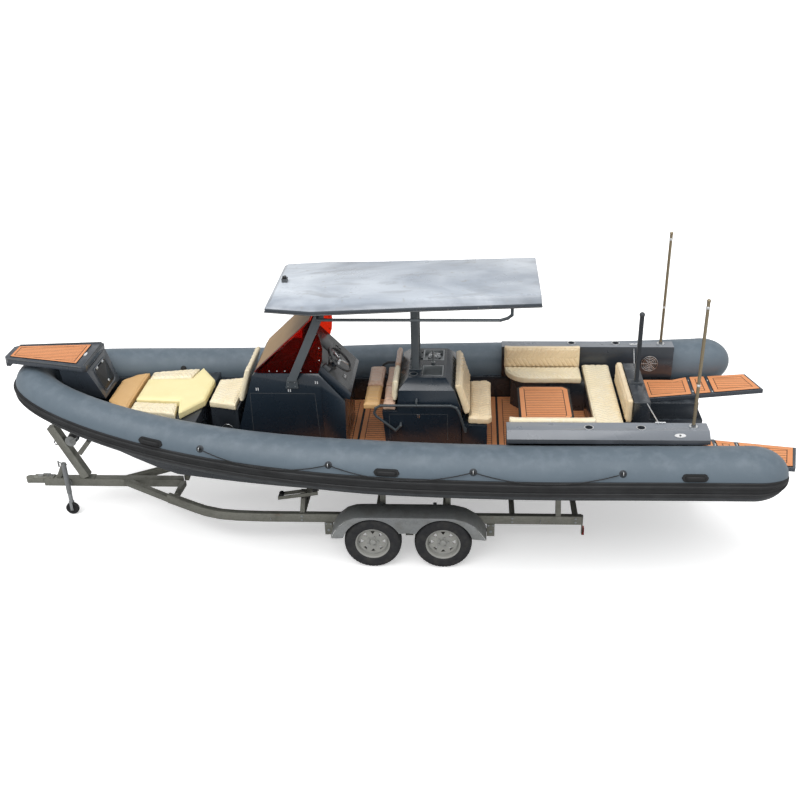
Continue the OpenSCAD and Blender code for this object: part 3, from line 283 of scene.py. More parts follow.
def tyre_rubber():
    f = Finish("tyre_rubber", "232427", 0.7)
    f.tint(f.between(f.noise(9, 6), 0.45, 0.75, 0, 0.6), "44423d")
    return f.roughen(f.noise(14, 4), 0.6, 0.85).bump(f.noise(300, 3), 0.0004, 0.4).mat


M = {
    "tube": tube_fabric(),
    "underside": rubber("underside_wear", "34383c"),
    "strake": rubber("strake_rubber", "1b1c1e"),
    "rubber": rubber("black_rubber", "17181a"),
    "patch": rubber("patch_fabric", "2c3238"),
    "hull": gelcoat("hull_gelcoat", "2b3036", "3a4048"),
    "navy": gelcoat("console_gelcoat", "1d2731", "26323e", "47525c"),
    "grey": gelcoat("step_gelcoat", "3a4048", "474e57"),
    "coaming": painted_sky_light("coaming_gelcoat", "30353c", "8f959d"),
    "dash": gelcoat("dash_gelcoat", "282c2f", "34393c"),
    "roof": roof_skin(),
    "teak": teak(),
    "caulk": rubber("caulk_line", "141414"),
    "cream": wrapped_vinyl("wrapped_cream", "fdf0d0", "f6e2b4", "fffaf0"),
    "rose": wrapped_vinyl("wrapped_rose", "e3bfa6", "d0a78c", "f3e2d4"),
    "tan": vinyl("tan_vinyl", "dcb27a", "cba066", "e6c090"),
    "edge": vinyl("edge_vinyl", "8f6a3a", "7f5c30", "a47d49"),
    "butter": vinyl("butter_vinyl", "fbeeb6", "f2e2a4", "fff6cc"),
    "sand": wrapped_vinyl("wrapped_sand", "f8e2bb", "e9cb9e", "fff2da"),
    "acrylic": acrylic("red_acrylic", "a81f0c"),
    "film": film_paper("tan_film", "9b7d57", "ab8d66"),
    "plum": film_paper("plum_film", "572f36", "693d42"),
    "frame": painted("frame_paint", "394146", "4b5358"),
    "mast": painted("mast_paint", "2a2f35", "3c4248"),
    "pole": steel("pole_metal", "a1947c", 0.42),
    "chrome": steel("bright_steel", "f2f4f5", 0.22),
    "steel": steel("brushed_steel", "a3a7a9", 0.28),
    "zinc": galvanised("galvanised_steel", "77776e", "8f8f86", "56554d"),
    "zinc_bright": galvanised("galvanised_bright", "8f9294", "a9acad", "74756f"),
    "tyre": tyre_rubber(),
    "rim": painted("rim_paint", "9c9c97", "adada8", 0.45),
    "black": painted("black_plastic", "121314", "202224", 0.35),
    "lens": acrylic("red_lens", "a3160e"),
    "white": painted("white_plastic", "d9dadb", "ececec", 0.3),
}

# ---------------------------------------------------------------- mesh helpers


def weld(node, grid=2e-5):
    """The CAD node's vertices, merged, and its triangles."""
    data = NODES[node].data
    co = np.array([v.co for v in data.vertices])
    keys = np.round(co / grid).astype(np.int64)
    _, first, back = np.unique(keys, axis=0, return_index=True, return_inverse=True)
    back = back.reshape(-1)
    faces = [tuple(back[i] for i in p.vertices) for p in data.polygons]
    return co[first], [f for f in faces if len(set(f)) == len(f)]


def islands(node):
    """The node's separate solids, largest first, each as vertices and faces."""
    co, faces = weld(node)
    parent = list(range(len(co)))

    def root(i):
        while parent[i] != i:
            parent[i] = parent[parent[i]]
            i = parent[i]
        return i

    for f in faces:
        for v in f[1:]:
            parent[root(f[0])] = root(v)
    groups = {}
    for f in faces:
        groups.setdefault(root(f[0]), []).append(f)
    found = []
    for fs in groups.values():
        used = sorted({v for f in fs for v in f})
        new = {v: i for i, v in enumerate(used)}
        found.append((co[used], [tuple(new[v] for v in f) for f in fs]))
    return sorted(found, key=lambda g: (-np.prod(np.ptp(g[0], axis=0)), tuple(g[0].mean(0).round(4))))


def make(name, verts, faces, material, body=ROOT, slot=None, smooth=False, replaces=()):
    """A new piece that rides on a body."""
    mesh = bpy.data.meshes.new(name)
    mesh.from_pydata([tuple(map(float, v)) for v in verts], [], [tuple(map(int, f)) for f in faces])
    mesh.validate()
    mesh.update()
    obj = bpy.data.objects.new(name, mesh)
    bpy.context.scene.collection.objects.link(obj)
    mesh.materials.append(M[material])
    if smooth:
        mesh.polygons.foreach_set("use_smooth", [True] * len(mesh.polygons))
    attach(obj, body)
    if replaces:
        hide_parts(*replaces)
    return obj


def soften_edges(obj, width=0.004, segments=2, angle=32):
    """Rounds the hard edges of a CAD node or a made piece, and shades it smooth between them."""
    weld_mod = obj.modifiers.new("weld", "WELD")
    weld_mod.merge_threshold = 2e-5
    bevel = obj.modifiers.new("bevel", "BEVEL")
    bevel.width = width
    bevel.segments = segments
    bevel.limit_method = "ANGLE"
    bevel.angle_limit = math.radians(angle)
    bevel.harden_normals = True
    obj.data.polygons.foreach_set("use_smooth", [True] * len(obj.data.polygons))
    return obj


class Build:
    """Collects many small shapes into one joined mesh."""

    def __init__(self):
        self.verts = []
        self.faces = []

    def add(self, verts, faces):
        start = len(self.verts)
        self.verts.extend([Vector(v) for v in verts])
        self.faces.extend([tuple(i + start for i in f) for f in faces])
        return self

    def block(self, centre, size, axes=None, chamfer=0.0):
        """A box with its vertical edges and top edges cut back."""
        axes = axes or Matrix.Identity(3)
        c = min(chamfer, min(size) * 0.45)
        hx, hy, hz = (s / 2 for s in size)
        rings = []
        for z, inset in ((-hz, 0), (hz - c, 0), (hz, c)):
            x, y = hx - inset, hy - inset
            k = max(c, 1e-5)
            rings.append([(x, -y + k, z), (x, y - k, z), (x - k, y, z), (-x + k, y, z),
                          (-x, y - k, z), (-x, -y + k, z), (-x + k, -y, z), (x - k, -y, z)])
        verts = [Vector(centre) + axes @ Vector(p) for ring in rings for p in ring]
        return self.add(verts, stacked(8, len(rings)))

    def disc(self, centre, normal, radius, height, sides=32, chamfer=0.0):
        """A round boss that stands on its centre along the normal."""
        c = min(chamfer, height * 0.45)
        profile = [(radius, 0), (radius, height - c), (radius - c, height)]
        return self.turned(centre, normal, profile, sides)

    def turned(self, centre, normal, profile, sides=32, closed=False):
        """A shape turned about the normal, from (radius, height) pairs."""
        axes = frame_of(normal)
        verts = [Vector(centre) + axes @ Vector((r * math.cos(a), r * math.sin(a), h))
                 for r, h in profile for a in turn(sides)]
        return self.add(verts, stacked(sides, len(profile), closed))

    def ring(self, centre, normal, radius, thick, sides=40, tube=12):
        profile = [(radius + thick * math.cos(a), thick * math.sin(a)) for a in turn(tube)]
        return self.turned(centre, normal, profile, sides, closed=True)

    def rod(self, points, radius, sides=12):
        """A round bar along a line of points."""
        pts = [Vector(p) for p in points]
        verts = []
        for i, p in enumerate(pts):
            t = (pts[min(i + 1, len(pts) - 1)] - pts[max(i - 1, 0)]).normalized()
            axes = frame_of(t)
            verts += [p + axes @ Vector((radius * math.cos(a), radius * math.sin(a), 0)) for a in turn(sides)]
        return self.add(verts, stacked(sides, len(pts)))

    def prism(self, outline, z0, z1, chamfer=0.0):
        """An outline in x, y pulled up, with its top edge cut back."""
        if len(outline) < 3:
            return self
        top = inset(outline, chamfer) if chamfer else outline
        if len(top) != len(outline):
            top = outline
        n = len(outline)
        rings = [[(x, y, z0) for x, y in outline], [(x, y, z1 - chamfer) for x, y in outline]]
        if chamfer:
            rings.append([(x, y, z1) for x, y in top])
        return self.add([p for r in rings for p in r], stacked(n, len(rings)))

    def piece(self, name, material, body=ROOT, slot=None, smooth=False, replaces=(), bevel=0.0):
        obj = make(name, self.verts, self.faces, material, body, slot, smooth, replaces)
        fix = bmesh.new()
        fix.from_mesh(obj.data)
        bmesh.ops.recalc_face_normals(fix, faces=fix.faces)
        fix.to_mesh(obj.data)
        fix.free()
        if smooth:
            sharp_by_angle(obj)
        if bevel:
            soften_edges(obj, bevel)
        return obj


def sharp_by_angle(obj, angle=38):
    """Smooth shading that keeps hard edges hard."""
    edges = bmesh.new()
    edges.from_mesh(obj.data)
    limit = math.radians(angle)
    for e in edges.edges:
        e.smooth = not (len(e.link_faces) == 2 and e.calc_face_angle(0) > limit)
    edges.to_mesh(obj.data)
    edges.free()


def turn(sides):
    return [2 * math.pi * k / sides for k in range(sides)]


def frame_of(normal):
    """Axes whose Z is the normal."""
    z = Vector(normal).normalized()
    x = Vector((0, 0, 1)).cross(z)
    x = x.normalized() if x.length > 1e-4 else Vector((1, 0, 0))
    return Matrix((x, z.cross(x), z)).transposed()


def stacked(n, m, closed=False):
    """Quads between m rings of n points, with both ends capped unless closed."""
    faces = [(i * n + j, i * n + (j + 1) % n, (i + 1) % m * n + (j + 1) % n, (i + 1) % m * n + j)
             for i in range(m if closed else m - 1) for j in range(n)]
    if not closed:
        faces += [tuple(reversed(range(n))), tuple(range((m - 1) * n, m * n))]
    return faces


def area_of(outline):
    return sum(a[0] * b[1] - b[0] * a[1] for a, b in zip(outline, outline[1:] + outline[:1])) / 2


def inset(outline, d):
    """A plan outline moved inwards by d, corner by corner."""
    pts = outline if area_of(outline) > 0 else outline[::-1]
    out = []
    for i, p in enumerate(pts):
        a, b = Vector(pts[i - 1]), Vector(pts[(i + 1) % len(pts)])
        p = Vector(p)
        u, v = (p - a).normalized(), (b - p).normalized()
        n1, n2 = Vector((-u.y, u.x)), Vector((-v.y, v.x))
        bis = n1 + n2
        if bis.length < 1e-6:
            continue
        bis.normalize()
        out.append(tuple(p + bis * min(d / max(bis.dot(n1), 0.35), 3 * d)))
    return out


def clip(outline, axis, limit, keep_above):
    """The part of an outline on one side of a line square to x (axis 0) or y (axis 1)."""
    out = []
    for a, b in zip(outline, outline[1:] + outline[:1]):
        ina = (a[axis] >= limit) == keep_above
        inb = (b[axis] >= limit) == keep_above
        if ina:
            out.append(a)
        if ina != inb:
            t = (limit - a[axis]) / (b[axis] - a[axis])
            out.append((a[0] + (b[0] - a[0]) * t, a[1] + (b[1] - a[1]) * t))
    return out


def top_outline(verts, faces):
    """The outline in plan of a solid's flat top, wound anticlockwise, with its height."""
    top = verts[:, 2].max()
    tops = [f for f in faces if all(abs(verts[v][2] - top) < 1e-4 for v in f)]
    edges = {}
    for f in tops:
        for a, b in zip(f, f[1:] + f[:1]):
            edges[(a, b)] = edges.get((b, a), 0) + 1
    nxt = {a: b for (a, b) in edges if (b, a) not in edges}
    start = next(iter(nxt))
    loop = [start]
    while nxt[loop[-1]] != start:
        loop.append(nxt[loop[-1]])
    pts = [tuple(verts[i][:2]) for i in loop]
    keep = []
    for i, p in enumerate(pts):
        u, v = Vector(p) - Vector(pts[i - 1]), Vector(pts[(i + 1) % len(pts)]) - Vector(p)
        if u.length > 1e-5 and abs(u.normalized().cross(v.normalized())) > 1e-3:
            keep.append(p)
    return (keep if area_of(keep) > 0 else keep[::-1]), float(top)


# ---------------------------------------------------------------- collar, strakes and what is on them

# the collar's path, in metres along X from the point midway between the axles
MID_X = 0.2675
TUBE_Z, TUBE_Y, TUBE_R, TUBE_BOW_R = 1.407, 1.307, 0.287, 0.219
TUBE_AFT_X, TUBE_BEND_X, TUBE_BOW_X = -3.980, -1.828, 4.378
TUBE_SHEER, TUBE_TOE, TUBE_AFT_RISE, DOME_L = 0.429, 0.064, 0.052, 0.360
SHEER_X, TAPER_X = -0.554, 0.409
DOME_X = TUBE_AFT_X + DOME_L
BOW_LEN = TUBE_BOW_X - TUBE_BEND_X
UP = Vector((0, 0, 1))


def dome_share(x):
    return math.sqrt(max(0.03, 1 - ((DOME_X - x) / DOME_L) ** 2)) if x < DOME_X else 1.0


def station(x, side=1):
    """Centre and radius of the collar at x, counted from midway between the axles."""
    if x < TUBE_BEND_X:
        y = TUBE_Y + TUBE_TOE * ((TUBE_BEND_X - x) / (TUBE_BEND_X - TUBE_AFT_X)) ** 2
    else:
        y = TUBE_Y * math.sqrt(max(0.0, 1 - ((x - TUBE_BEND_X) / BOW_LEN) ** 2))
    z = TUBE_Z
    if x > SHEER_X:
        z += TUBE_SHEER * ((x - SHEER_X) / (TUBE_BOW_X - SHEER_X)) ** 2.685
    if x < -1.0:
        z += TUBE_AFT_RISE * ((-1.0 - x) / (-1.0 - TUBE_AFT_X)) ** 2
    r = TUBE_R
    if x > TAPER_X:
        r += (TUBE_BOW_R - TUBE_R) * (x - TAPER_X) / (TUBE_BOW_X - TAPER_X)
    return Vector((x - MID_X, side * y, z)), r * dome_share(x)


def whole_path(fine=1):
    """Stations from the port stern round the bow to the starboard stern."""
    xs = [DOME_X - DOME_L * math.cos(math.radians(a)) for a in np.linspace(10, 88, 14)]
    xs += list(np.linspace(DOME_X, TUBE_BEND_X, 14 * fine))
    xs += [TUBE_BEND_X + BOW_LEN * math.sin(math.radians(a)) for a in np.linspace(0.8, 89.4, 110 * fine)]
    port = [station(x) for x in xs]
    port.append((Vector((TUBE_BOW_X - MID_X, 0, station(TUBE_BOW_X)[0].z)), TUBE_BOW_R))
    return port + [(Vector((p.x, -p.y, p.z)), r) for p, r in reversed(port[:-1])]


def axes_at(path, i):
    """Outward, upward and forward directions of the collar's section."""
    t = (path[min(i + 1, len(path) - 1)][0] - path[max(i - 1, 0)][0]).normalized()
    out = UP.cross(t).normalized()
    return out, t.cross(out), t


def swept(path, profile, closed=True):
    """A skin round the path from (degrees above outward, height off the collar) pairs."""
    verts = []
    for i, (p, r) in enumerate(path):
        out, up, _ = axes_at(path, i)
        for a, e in profile:
            k = math.radians(a)
            verts.append(p + (out * math.cos(k) + up * math.sin(k)) * (r + e))
    return verts, stacked(len(profile), len(path))


def on_tube(x, side, angle, lift):
    """A point on the collar and its outward, along and around directions."""
    a, b = station(x - 0.004, side)[0], station(x + 0.004, side)[0]
    p, r = station(x, side)
    t = (b - a).normalized()
    out = Vector((t.y, -t.x, 0)).normalized() * (-1 if side > 0 else 1)
    up = UP - t * UP.dot(t)
    up.normalize()
    k = math.radians(angle)
    n = (out * math.cos(k) + up * math.sin(k)).normalized()
    return p + n * (r + lift), n, t, t.cross(n).normalized()


def collar():
    path = whole_path(2)
    verts, faces = swept(path, [(a * 360 / 72, 0.0) for a in range(72)])
    make("collar_skin", verts, faces, "tube", slot="tube", smooth=True, replaces=["tube_collar"])
    # bands of cloth glued over the joints between the air chambers, and round the stern cones
    bands = Build()
    for side in (1, -1):
        for x, half in ((-3.60, 0.03), (-2.62, 0.022), (-1.02, 0.022), (1.25, 0.022), (3.02, 0.022)):
            near = [station(x + d, side) for d in np.linspace(-half, half, 4)]
            edge = [(near[0][0], near[0][1] - 0.001)] + near + [(near[-1][0], near[-1][1] - 0.001)]
            ring = [(a * 5.0, 0.0012) for a in range(72)]
            bands.add(*swept(edge, ring if side > 0 else ring))
    bands.piece("chamber_bands", "tube", slot="tube", smooth=True)
    wear = [(-27, 0.0)] + [(a, 0.0022) for a in range(-27, -80, -4)] + [(-79.3, 0.0)]
    make("underside_wear_strip", *swept(path, wear[::-1]), "underside", slot="rubber", smooth=True)


def half_round(low, high, base, top, count=9):
    """Profile points of a rounded ridge between two angles."""
    mid, half = (low + high) / 2, (high - low) / 2
    return [(mid + half * math.cos(math.radians(a)), base + (top - base) * math.sin(math.radians(a)) ** 0.7)
            for a in np.linspace(180, 0, count)]


def strakes():
    """Rubber rubbing strakes: a flat ribbed band with two bold ridges."""
    outer = [(-26.6, 0.004), (-26.2, 0.009), (-21, 0.0105)]
    outer += half_round(-20.2, -13.0, 0.0105, 0.0262)
    outer += [(-12.0, 0.0095), (-10.4, 0.0120), (-9.0, 0.0095), (-6.5, 0.0095), (-5.0, 0.0125), (-3.5, 0.0095)]
    outer += half_round(-1.0, 6.2, 0.0105, 0.0262)
    outer += [(7.2, 0.0092), (9.4, 0.0088), (10.2, 0.0110), (11.0, 0.0088), (12.2, 0.0070), (12.5, 0.002)]
    inner = [(a, 0.0005) for a in (8, 0, -9, -18, -26)]
    verts, faces = swept(whole_path(2), outer + inner)
    make("rub_strakes", verts, faces, "strake", slot="rubber", smooth=True, replaces=["rub_strake"])
    sharp_by_angle(bpy.data.objects["rub_strakes"], 50)


HANDLE_XS = (2.700, 0.150, -2.990)
RING_XS = (2.150, 0.760, -0.740, -2.260)
VALVE_XS = (2.900, -0.200)


def curved_patch(build, x, side, angle, half_l, half_w, lift, round_k=1.0):
    """A patch with round ends that follows the collar, as a thin domed skin."""
    rows, cols = 15, 9
    grid = []
    for i in range(rows):
        u = -1 + 2 * i / (rows - 1)
        width = math.sqrt(max(0.02, 1 - max(0.0, (abs(u) * half_l - (half_l - half_w)) / half_w) ** 2))
        for j in range(cols):
            v = -1 + 2 * j / (cols - 1)
            rim = 0.0 if abs(u) == 1 or abs(v) == 1 else 1.0
            r = station(x, side)[1]
            a = angle + math.degrees(v * width * half_w / r) * round_k
            grid.append(on_tube(x + u * half_l, side, a, lift * rim + 0.0006)[0])
    faces = [(i * cols + j, i * cols + j + 1, (i + 1) * cols + j + 1, (i + 1) * cols + j)
             for i in range(rows - 1) for j in range(cols - 1)]
    if side > 0:
        faces = [f[::-1] for f in faces]
    build.add(grid, faces)


def tube_hardware():
    """Carrying handles, lacing rings and inflation valves."""
    handles, pads, rings, valves, knots = Build(), Build(), Build(), Build(), Build()
    for side in (1, -1):
        for x in HANDLE_XS:
            curved_patch(handles, x, side, 22, 0.135, 0.042, 0.014)
            grip = []
            for s in np.linspace(-1, 1, 17):
                lift = 0.016 + 0.026 * max(0.0, 1 - s ** 6) ** 0.5
                grip.append(on_tube(x + s * 0.098, side, 22, lift)[0])
            tube_of(handles, grip, lambda s: (0.011, 0.022), side)
            for s in (-0.115, 0.115):
                p, n, t, b = on_tube(x + s, side, 22, 0.013)
                handles.turned(p, n, [(0.016, 0), (0.014, 0.006), (0.004, 0.008)], 16)
        for x in RING_XS:
            curved_patch(pads, x, side, 30, 0.040, 0.040, 0.004)
            p, n, t, b = on_tube(x, side, 30, 0.004)
            pads.add(*turned_patch(p, n, [(0.026, 0), (0.024, 0.005), (0.010, 0.007)]))
            rings.ring(p + n * 0.024, t, 0.020, 0.0035)
            knots.ring(p + n * 0.022, n, 0.010, 0.006, 20, 8)
            knots.ring(p + n * 0.024 + t * 0.014, t, 0.0085, 0.005, 20, 8)
            knots.ring(p + n * 0.024 - t * 0.014, t, 0.0085, 0.005, 20, 8)
        for x in VALVE_XS:
            p, n, t, b = on_tube(x, side, 158, 0.002)
            valves.turned(p, n, [(0.036, 0), (0.036, 0.004), (0.030, 0.009), (0.024, 0.009), (0.024, 0.006),
                                 (0.018, 0.006), (0.018, 0.014), (0.010, 0.016)], 32)
            for a in (0, 1.571, 3.142, 4.712):
                q = p + (t * math.cos(a) + b * math.sin(a)) * 0.015 + n * 0.014
                valves.block(q, (0.005, 0.005, 0.004), frame_of(n))
    handles.piece("carry_handles", "rubber", slot="rubber", smooth=True, replaces=["tube_fittings"])
    pads.piece("ring_pads", "patch", slot="rubber", smooth=True)
    rings.piece("lacing_rings", "chrome", slot="stainless", smooth=True)
    knots.piece("line_knots", "rubber", slot="rubber", smooth=True)
    valves.piece("air_valves", "rubber", slot="rubber", smooth=True)


def turned_patch(centre, normal, profile):
    b = Build().turned(centre, normal, profile, 24)
    return b.verts, b.faces


def tube_of(build, points, radii, side=1, sides=14):
    """A bar of oval section along points; radii gives its height and width at a share of its length."""
    verts = []
    for i, p in enumerate(points):
        t = (points[min(i + 1, len(points) - 1)] - points[max(i - 1, 0)]).normalized()
        out = UP.cross(t).normalized()
        up = t.cross(out)
        a, b = radii(i / (len(points) - 1))
        verts += [p + out * math.cos(k) * a + up * math.sin(k) * b for k in turn(sides)]
    build.add(verts, stacked(sides, len(points)))


def grab_line():
    """A laid rope that sags from ring to ring."""
    rope = Build()
    strands, sides, radius = 3, 18, 0.0055
    for side in (1, -1):
        xs = np.linspace(RING_XS[-1] + 0.045, RING_XS[0] - 0.04, 620)
        points, out_dirs = [], []
        for x in xs:
            i = 0 if x > RING_XS[1] else 1 if x > RING_XS[2] else 2
            k = (RING_XS[i] - x) / (RING_XS[i] - RING_XS[i + 1])
            p, n, _, _ = on_tube(x, side, 30 - 84 * k * (1 - k), 0.024)
            points.append(p)
            out_dirs.append(n)
        verts = []
        for i, (p, n) in enumerate(zip(points, out_dirs)):
            t = (points[min(i + 1, len(points) - 1)] - points[max(i - 1, 0)]).normalized()
            b = t.cross(n).normalized()
            for a in turn(sides):
                r = radius * (1 + 0.14 * math.cos(strands * a - 0.9 * i))
                verts.append(p + (n * math.cos(a) + b * math.sin(a)) * r)
        rope.add(verts, stacked(sides, len(points)))
    rope.piece("grab_rope", "rubber", slot="rubber", smooth=True, replaces=["grab_lines"])


# ---------------------------------------------------------------- teak

PLANK, SEAM, BORDER = 0.050, 0.008, 0.055
# the bow step rises 36 mm in its metre of length
STEP_SLOPE = math.atan2(0.036, 1.0)


def lay_planks(build, outline, top, pitch=PLANK, border=BORDER, rise=0.0015, axis=1):
    """Planks inside a border plank, with dark seams left between them."""
    edge = inset(outline, 0.004)
    inner = inset(outline, 0.004 + border)
    field = inset(outline, 0.004 + border + SEAM)
    n = len(edge)
    if len(inner) == n:
        for i in range(n):
            a, b = Vector(edge[i]), Vector(edge[(i + 1) % n])
            c, d = Vector(inner[(i + 1) % n]), Vector(inner[i])
            cut = (b - a).normalized() * 0.0012
            build.prism([tuple(a + cut), tuple(b - cut), tuple(c - cut), tuple(d + cut)], top - 0.0005, top + rise, 0.0007)
    low, high = min(p[axis] for p in field), max(p[axis] for p in field)
    count = max(1, round((high - low + SEAM) / pitch))
    step = (high - low + SEAM) / count
    for k in range(count):
        strip = clip(field, axis, low + k * step, True)
        strip = clip(strip, axis, low + (k + 1) * step - SEAM, False) if len(strip) > 2 else strip
        if len(strip) > 2 and abs(area_of(strip)) > 2e-4:
            build.prism(strip if area_of(strip) > 0 else strip[::-1], top - 0.0005, top + rise, 0.0007)


def split_at(outline, cuts, gap):
    """The outline cut across X at each place, with a gap left at each cut."""
    panels, rest = [], outline
    for x in sorted(cuts):
        low = clip(rest, 0, x - gap / 2, False)
        rest = clip(rest, 0, x + gap / 2, True)
        panels.append(low)
    return [p for p in panels + [rest] if len(p) > 2]


def decking():
    planks = Build()
    solids = islands("teak_decking")
    tilted = [s for s in solids if s[0][:, 2].min() > 1.9]
    level = [s for s in solids if s[0][:, 2].min() <= 1.9]
    for verts, faces in level:
        outline, top = top_outline(verts, faces)
        length = max(p[0] for p in outline) - min(p[0] for p in outline)
        cuts = [x - MID_X for x in (0.62, -1.02)] if length > 3 else []
        for panel in split_at(outline, cuts, 0.02):
            lay_planks(planks, panel, top)
    for verts, faces in tilted:
        # the bow step's pad lies on a slope, so it is laid flat, planked and turned back
        spin = Matrix.Rotation(STEP_SLOPE, 3, "Y")
        pivot = Vector(verts[verts[:, 0].argmin()])
        flat = np.array([spin @ (Vector(v) - pivot) for v in verts])
        outline, top = top_outline(np.round(flat, 5), faces)
        pad = Build()
        lay_planks(pad, outline, top, 0.040, 0.03)
        back = spin.inverted()
        planks.add([pivot + back @ v for v in pad.verts], pad.faces)
    planks.piece("teak_planks", "teak", slot="teak")
    table = Build()
    verts, faces = islands("table_top")[0]
    outline, top = top_outline(verts, faces)
    outer = inset(outline, 0.022)
    lay_planks(table, outer, top, 0.042, 0.052)
    table.piece("table_planks", "teak", slot="teak")


# ---------------------------------------------------------------- CAD nodes whose shape is right


def at(x, y, z):
    """A place in metres from millimetres counted from midway between the axles."""
    return Vector((x / 1000 - MID_X, y / 1000, z / 1000))


def finish_node(name, material, bevel=0.003):
    obj = NODES[name]
    for spare in range(1, len(obj.material_slots)):
        obj.material_slots[spare].material = M[material]
    if obj.material_slots:
        obj.material_slots[0].material = M[material]
    else:
        obj.data.materials.append(M[material])
    if bevel:
        soften_edges(obj, bevel)


def recast(node, pick, slots, bevel=0.003):
    """Gives a node's solids their own materials: pick names one from each solid's middle and size."""
    groups = {}
    for verts, faces in islands(node):
        low, high = verts.min(0), verts.max(0)
        groups.setdefault(pick((low + high) / 2, high - low), []).append((verts, faces))
    for key, solids in sorted(groups.items()):
        build = Build()
        for verts, faces in solids:
            build.add([tuple(v) for v in verts], faces)
        obj = make(f"{node}_{key}", build.verts, build.faces, key, BODY_OF[node], slots[key], False, [node])
        if bevel:
            soften_edges(obj, bevel)


PLAIN = {
    "rigid_hull": ("hull", "gelcoat", 0.006), "hull_sides": ("hull", "gelcoat", 0.006),
    "bow_step": ("grey", "gelcoat", 0.008),
    "locker_door": ("black", "dark_metal", 0.003), "bow_seat_base": ("hull", "gelcoat", 0.006),
    "console": ("navy", "gelcoat", 0.024), "roof": ("roof", "gelcoat", 0.010),
    "roof_frame": ("frame", "dark_metal", 0.004), "roof_rails": ("frame", "dark_metal", 0.001),
    "seat_module": ("navy", "gelcoat", 0.010), "sink_unit": ("steel", "stainless", 0.002),
    "grab_rails": ("frame", "dark_metal", 0.0), "lounge_base": ("hull", "gelcoat", 0.006),
    "table_top": ("caulk", "teak", 0.003), "table_pedestal": ("steel", "stainless", 0.002),
    "coamings": ("coaming", "gelcoat", 0.012), "stern_bulkhead": ("hull", "gelcoat", 0.008),
    "mast": ("mast", "dark_metal", 0.003), "awning_poles": ("pole", "stainless", 0.0),
    "swim_platforms": ("grey", "gelcoat", 0.010), "teak_decking": ("caulk", "teak", 0.0),
    "throttle": ("black", "dark_metal", 0.003), "drawbar": ("zinc", "galvanised", 0.006),
    "chassis_rails": ("zinc", "galvanised", 0.008), "cross_members": ("zinc", "galvanised", 0.006),
    "axles": ("zinc", "galvanised", 0.002), "fenders": ("zinc_bright", "galvanised", 0.0015),
    "winch_post": ("zinc", "galvanised", 0.006), "jack_tube": ("zinc_bright", "galvanised", 0.001),
    "jack_leg": ("zinc_bright", "galvanised", 0.001), "jockey_wheel": ("rubber", "rubber", 0.002),
    "rim_front_port": ("rim", "rim", 0.001), "rim_rear_port": ("rim", "rim", 0.001),
    "rim_front_starboard": ("rim", "rim", 0.001), "rim_rear_starboard": ("rim", "rim", 0.001),
}


def cad_finishes():
    for name, (material, slot, bevel) in PLAIN.items():
        finish_node(name, material, bevel)
    recast("bunks", lambda c, s: "strake" if s[0] > 1 else "zinc", {"strake": "rubber", "zinc": "galvanised"})
    recast("keel_rollers", lambda c, s: "rubber" if abs(s[0] - 0.06) < 0.004 and s[1] > 0.06 and s[2] < 0.1 else "zinc",
           {"rubber": "rubber", "zinc": "galvanised"}, 0.002)
    recast("deck_fittings", lambda c, s: "black" if s[2] > 0.05 else "chrome",
           {"black": "dark_metal", "chrome": "stainless"}, 0.001)
    recast("trailer_lights", lambda c, s: "zinc" if s[2] > 0.2 else "lens",
           {"zinc": "galvanised", "lens": "acrylic"}, 0.002)


# ---------------------------------------------------------------- upholstery


def spun(verts, angle, pivot=(0, 0, 0)):
    """Points turned about Y, in degrees."""
    k = math.radians(angle)
    x, z = verts[:, 0] - pivot[0], verts[:, 2] - pivot[2]
    out = verts.copy()
    out[:, 0] = pivot[0] + x * math.cos(k) + z * math.sin(k)
    out[:, 2] = pivot[2] - x * math.sin(k) + z * math.cos(k)
    return out


def near_outline(points, outline):
    """Distance of many plan points from an outline."""
    best = np.full(len(points), 9.0)
    for a, b in zip(outline, outline[1:] + outline[:1]):
        a, d = np.array(a), np.array(b) - np.array(a)
        t = np.clip(((points - a) @ d) / max(d @ d, 1e-12), 0, 1)
        best = np.minimum(best, np.linalg.norm(points - a - t[:, None] * d, axis=1))
    return best


def lines_to(value, pitch):
    """Distance from the nearest of evenly spaced lines."""
    return np.abs((value / pitch) % 1.0 - 0.5) * pitch


def quilt_lines(kind, u, v, half_u, half_v):
    """Distance from the nearest sewn line of a quilting pattern."""
    if kind == "leaf":
        ribs = lines_to(u + 0.62 * np.abs(v), 0.058) * 0.85
        return np.minimum(ribs, np.abs(v))
    if kind == "leaf_across":
        ribs = lines_to(v + 0.62 * np.abs(u), 0.058) * 0.85
        return np.minimum(ribs, np.abs(u))
    if kind == "diamond":
        return np.minimum(lines_to(u + v, 0.085), lines_to(u - v, 0.085)) * 0.7
    if kind == "channels":
        return lines_to(v, 0.075)
    if kind == "channels_along":
        return lines_to(u, 0.075)
    return np.full(len(u), 9.0)


PADS = []


